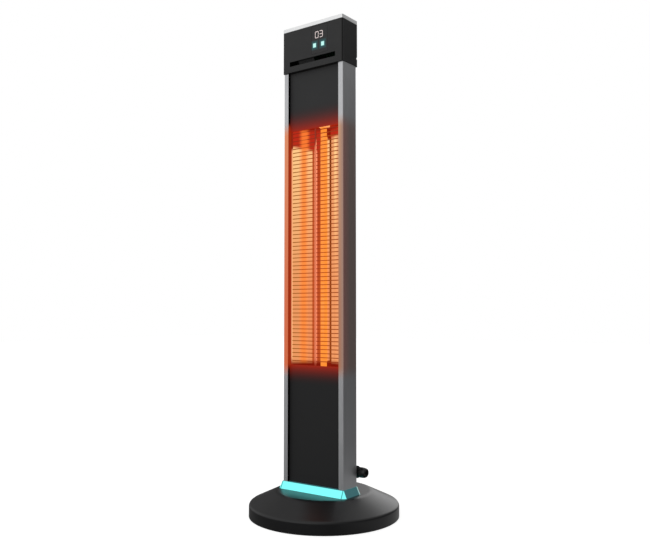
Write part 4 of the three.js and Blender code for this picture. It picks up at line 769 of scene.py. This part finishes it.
# Column pieces that keep the CAD's form, with their edges eased
addPiece("light_collar", rounded(copied("led_collar"), 0.25), collarGlow, ["led_collar"])
for side, sign in (("left", -1), ("right", 1)):
    bm = copied(f"{side}_rail")
    low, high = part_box(f"{side}_rail")
    outer, front = max(abs(low[0]), abs(high[0])), low[1]
    was, now = railLook["solidCorner"] * mm, railLook["corner"] * mm
    for vertex in bm.verts:
        # the front outer corner turns on a larger radius than the solid's
        x, y = abs(vertex.co.x) - (outer - was), vertex.co.y - (front + was)
        if x > -1e-6 and y < 1e-6 and math.hypot(x, y) > was - 1e-5:
            grown = now / math.hypot(x, y)
            vertex.co.x = sign * (outer - now + x * grown)
            vertex.co.y = front + now + y * grown
    addPiece(f"rail_{side}", rounded(bm, 0.35, sharpest=50), rails, [f"{side}_rail"])
for name in ("upper", "lower"):
    addPiece(f"panel_{name}", rounded(copied(f"{name}_front_panel"), 0.4), panelPaint,
             [f"{name}_front_panel"])

# Guard: wires across three flat bars
guard = {"y": -29.2, "edge": 63.4, "barWidth": 4, "barDepth": 2, "barEase": 0.4, "wire": 0.9, "wireSides": 10,
         "pitch": 8.1, "first": 309.1, "count": 60, "bottom": 283.2, "top": 794.4}
bm = startMesh()
reach = guard["edge"] - guard["barWidth"] / 2
for x in (-reach, 0, reach):
    addBox(bm, (x - guard["barWidth"] / 2, guard["y"] - guard["barDepth"] / 2, guard["bottom"]),
           (x + guard["barWidth"] / 2, guard["y"] + guard["barDepth"] / 2, guard["top"]))
rounded(bm, guard["barEase"])
for i in range(guard["count"]):
    place = placed(0, guard["y"], guard["first"] + i * guard["pitch"], (1, 0, 0))
    bmesh.ops.create_cone(bm, cap_ends=True, cap_tris=False, segments=guard["wireSides"],
                          radius1=guard["wire"] * mm, radius2=guard["wire"] * mm, depth=2 * reach * mm,
                          matrix=place)
addPiece("wire_guard", bm, guardSteel, ["guard_grille"], smooth=50)

# Lamp: a quartz tube with a ceramic cap at each end
lamp = {"radius": 7, "wall": 1.2, "socket": 7.4, "socketDepth": 9, "cap": 8.5, "flange": 12.4}
low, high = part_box("lamp_tube")
bottom, top = low[2] / mm, high[2] / mm
bore = lamp["radius"] - lamp["wall"]
addPiece("quartz_tube", addTurned(startMesh(), [
    (bore, bottom + 0.3), (lamp["radius"] - 0.4, bottom), (lamp["radius"], bottom + 0.4),
    (lamp["radius"], top - 0.4), (lamp["radius"] - 0.4, top), (bore, top - 0.3), (bore, bottom + 0.3)], 48),
    quartz, ["lamp_tube"])
for name, direction in (("top", 1), ("bottom", -1)):
    low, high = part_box(f"lamp_cap_{name}")
    start = (low[2] if direction > 0 else high[2]) / mm
    steps = [(0, lamp["socketDepth"]), (lamp["socket"], lamp["socketDepth"]), (lamp["socket"], 0),
             (lamp["cap"] - 0.2, 0), (lamp["cap"] + 0.4, 0.6), (lamp["flange"] - 0.3, 2.5),
             (lamp["flange"], 4.5), (lamp["flange"] - 0.3, 5), (lamp["cap"] + 0.7, 5), (lamp["cap"], 5.6),
             (lamp["cap"], 21.4), (lamp["cap"] - 0.6, 22), (0, 22)]
    addPiece(f"ceramic_cap_{name}",
             addTurned(startMesh(), [(r, start + direction * along) for r, along in steps], 48), lampLitCeramic,
             [f"lamp_cap_{name}"])
print("column front ready")

# Rear housing
for name, node, easing, finish, slotName in (
        ("rear_housing", "rear_cover", (0.35, 2, 50), rearPaint, "black_paint"),
        ("housing_cap_top", "rear_cap_top", (0.5, 2, 30), rearPaint, "black_plastic"),
        ("housing_cap_bottom", "rear_cap_bottom", (0.5, 2, 30), rearPaint, "black_plastic"),
        ("cable_boss", "cable_entry_boss", (0.8, 3, 50), nylon, "black_plastic")):
    addPiece(name, rounded(copied(node), *easing), finish, [node])


def screwRows(name, screw):
    # two columns of heads on a rear face, their heights in rows
    places = [placed(side * screw["x"], screw["y"], z, (0, 1, 0)) for side in (-1, 1) for z in screw["rows"]]
    addPiece(name, scattered(screwHead(screw["radius"], screw["height"]), places), zinc)


screwRows("rear_screws", {"x": 63, "y": 7.55, "radius": 3.2, "height": 1.7,
                          "rows": (84, 288, 492, 696, 884)})

# Gland nut: a domed cap with soft ridges round its straight part
gland = {"y": 19, "z": 90.2, "start": 71.2, "length": 19.4, "radius": 10.1, "mouth": 6.1, "bore": 7.8,
         "boreEnd": 10.2, "throat": 13.2, "domeShare": 0.55, "straightSteps": 6, "domeSteps": 10,
         "ridges": 18, "ridgeDepth": 0.75, "ridgeFrom": 8.6, "steps": 108}
domeStart, domeFoot = gland["length"] * gland["domeShare"], gland["mouth"] + 0.7
nutProfile = [(gland["bore"], 0.3), (gland["radius"] - 0.5, 0), (gland["radius"], 0.6)]
nutProfile += [(gland["radius"], domeStart * k / gland["straightSteps"])
               for k in range(1, gland["straightSteps"] + 1)]
for i in range(1, gland["domeSteps"] + 1):
    angle = math.pi / 2 * i / gland["domeSteps"]
    nutProfile.append((domeFoot + (gland["radius"] - domeFoot) * math.cos(angle),
                       domeStart + (gland["length"] - domeStart) * math.sin(angle)))
nutProfile += [(gland["mouth"] + 0.2, gland["length"] - 0.2), (gland["mouth"], gland["length"] - 0.8),
               (gland["mouth"], gland["throat"]), (gland["bore"], gland["boreEnd"]), (gland["bore"], 0.3)]
bm = addTurned(startMesh(), nutProfile, gland["steps"], (gland["start"], gland["y"], gland["z"]), "X")
for vertex in bm.verts:
    arm = Vector((0, vertex.co.y - gland["y"] * mm, vertex.co.z - gland["z"] * mm))
    along = vertex.co.x / mm - gland["start"]
    if arm.length > gland["ridgeFrom"] * mm and 1.0 < along < domeStart + 1:
        notch = 0.5 - 0.5 * math.cos(gland["ridges"] * math.atan2(arm.z, arm.y))
        vertex.co -= arm.normalized() * gland["ridgeDepth"] * mm * notch ** 3
addPiece("gland_dome_nut", bm, nylon, ["gland_nut"], smooth=35)
addPiece("gland_hex_body", rounded(copied("gland_body"), 0.5, 2, 35), nylon, ["gland_body"])
print("rear ready")

# Control head
for name, node in (("head_shell", "head_housing"), ("head_back", "head_rear_cover")):
    addPiece(name, rounded(copied(node), 0.45, 2, 50), headAbs, [node])
addPiece("head_top", rounded(copied("top_plate"), 0.8, 3, 50), topPaint, ["top_plate"])
screwRows("head_screws", {"x": 50, "y": 11.52, "radius": 2.8, "height": 1.2, "rows": (925.6, 973.6)})

# Display window: smoked acrylic, nearly black and glossy, with a teal halo round each key
display = {
    "colour": "#1c1c1e", "shade": "#202022", "grain": 3, "patch": 30, "roughness": (0.22, 0.30),
    "relief": 0.001, "keyHalf": (4.8, 5.9), "halo": "#0b3f43", "haloReach": 5.5}
lens = surface("smokedAcrylic", display)
tree = lens["tree"]
halo = keysNear(tree, lens["place"], display["keyHalf"], display["haloReach"])
lit = addNode(tree, "Mix", {0: halo, 6: (0, 0, 0, 1), 7: linear(display["halo"])}, data_type="RGBA").outputs[2]
litBy(lens, lit)
addPiece("display_window", rounded(copied("display_lens"), 0.2), lens, ["display_lens"])
for side in ("left", "right"):
    addPiece(f"key_{side}", rounded(copied(f"touch_key_{side}"), 0.3), keyGlow, [f"touch_key_{side}"])

# Plain seven-segment figures on the display
figures = {"width": 8.5, "height": 13.6, "stroke": 1.0, "gap": 0.15, "centres": (12.5, 23.1), "z": 970.8,
           "front": -41.85, "depth": 0.2, "show": ("abcdef", "abcdg")}


def segment(bm, x, z, length, upright):
    # a flat bar with pointed ends, pushed back to its depth
    half, tip = length / 2 - figures["gap"], figures["stroke"] / 2
    outline = [(-half, 0), (tip - half, tip), (half - tip, tip), (half, 0), (half - tip, -tip),
               (tip - half, -tip)]
    if upright:
        outline = [(b, a) for a, b in outline]
    face = bm.faces.new([bm.verts.new(((x + a) * mm, figures["front"] * mm, (z + b) * mm)) for a, b in outline])
    made = bmesh.ops.extrude_face_region(bm, geom=[face])
    moved = [v for v in made["geom"] if isinstance(v, bmesh.types.BMVert)]
    bmesh.ops.translate(bm, vec=(0, figures["depth"] * mm, 0), verts=moved)


bm = startMesh()
width, height = figures["width"] - figures["stroke"], figures["height"] - figures["stroke"]
for x, shown in zip(figures["centres"], figures["show"]):
    left, right, z = x - width / 2, x + width / 2, figures["z"]
    spots = {"a": (x, z + height / 2, width, False), "g": (x, z, width, False),
             "d": (x, z - height / 2, width, False), "b": (right, z + height / 4, height / 2, True),
             "c": (right, z - height / 4, height / 2, True), "f": (left, z + height / 4, height / 2, True),
             "e": (left, z - height / 4, height / 2, True)}
    for letter in shown:
        segment(bm, *spots[letter])
addPiece("display_figures", bm, figureGlow, recalc=True)
print("head ready")

# CAD nodes that stay as they are take their finishes here
kept = {
    "base_bottom_plate": rearPaint, "base_ballast": castIron, "column_foot_bracket": zinc, "head_bracket": zinc,
    "tip_switch_body": whiteNylon, "tip_switch_spring": zinc, "led_strip": boardFinish, "reflector": mirror,
    "reflector_end_top": lampLitEndPlate, "reflector_end_bottom": lampLitEndPlate, "lamp_filament": carbon,
    "lamp_clip_top": lampLitSpringSteel, "lamp_clip_bottom": lampLitSpringSteel, "thermal_cutoff": zinc, "heat_shield": galvanised,
    "terminal_block": whiteNylon, "gland_seal": rubber, "gland_locknut": nylon, "vent_baffle": rearPaint,
    "display_module": boardFinish, "control_board": boardFinish, "power_relay": relayBlue, "ir_receiver": nylon,
    "wiring_harness": rubber, "switch_lead": rubber, **{f"column_bolt_{i}": zinc for i in range(1, 5)}}
for name, finish in kept.items():
    mesh = nodes[name].data
    if mesh.materials:
        for i in range(len(mesh.materials)):
            mesh.materials[i] = finish["material"]
    else:
        mesh.materials.append(finish["material"])
print("kept nodes finished:", len(kept))
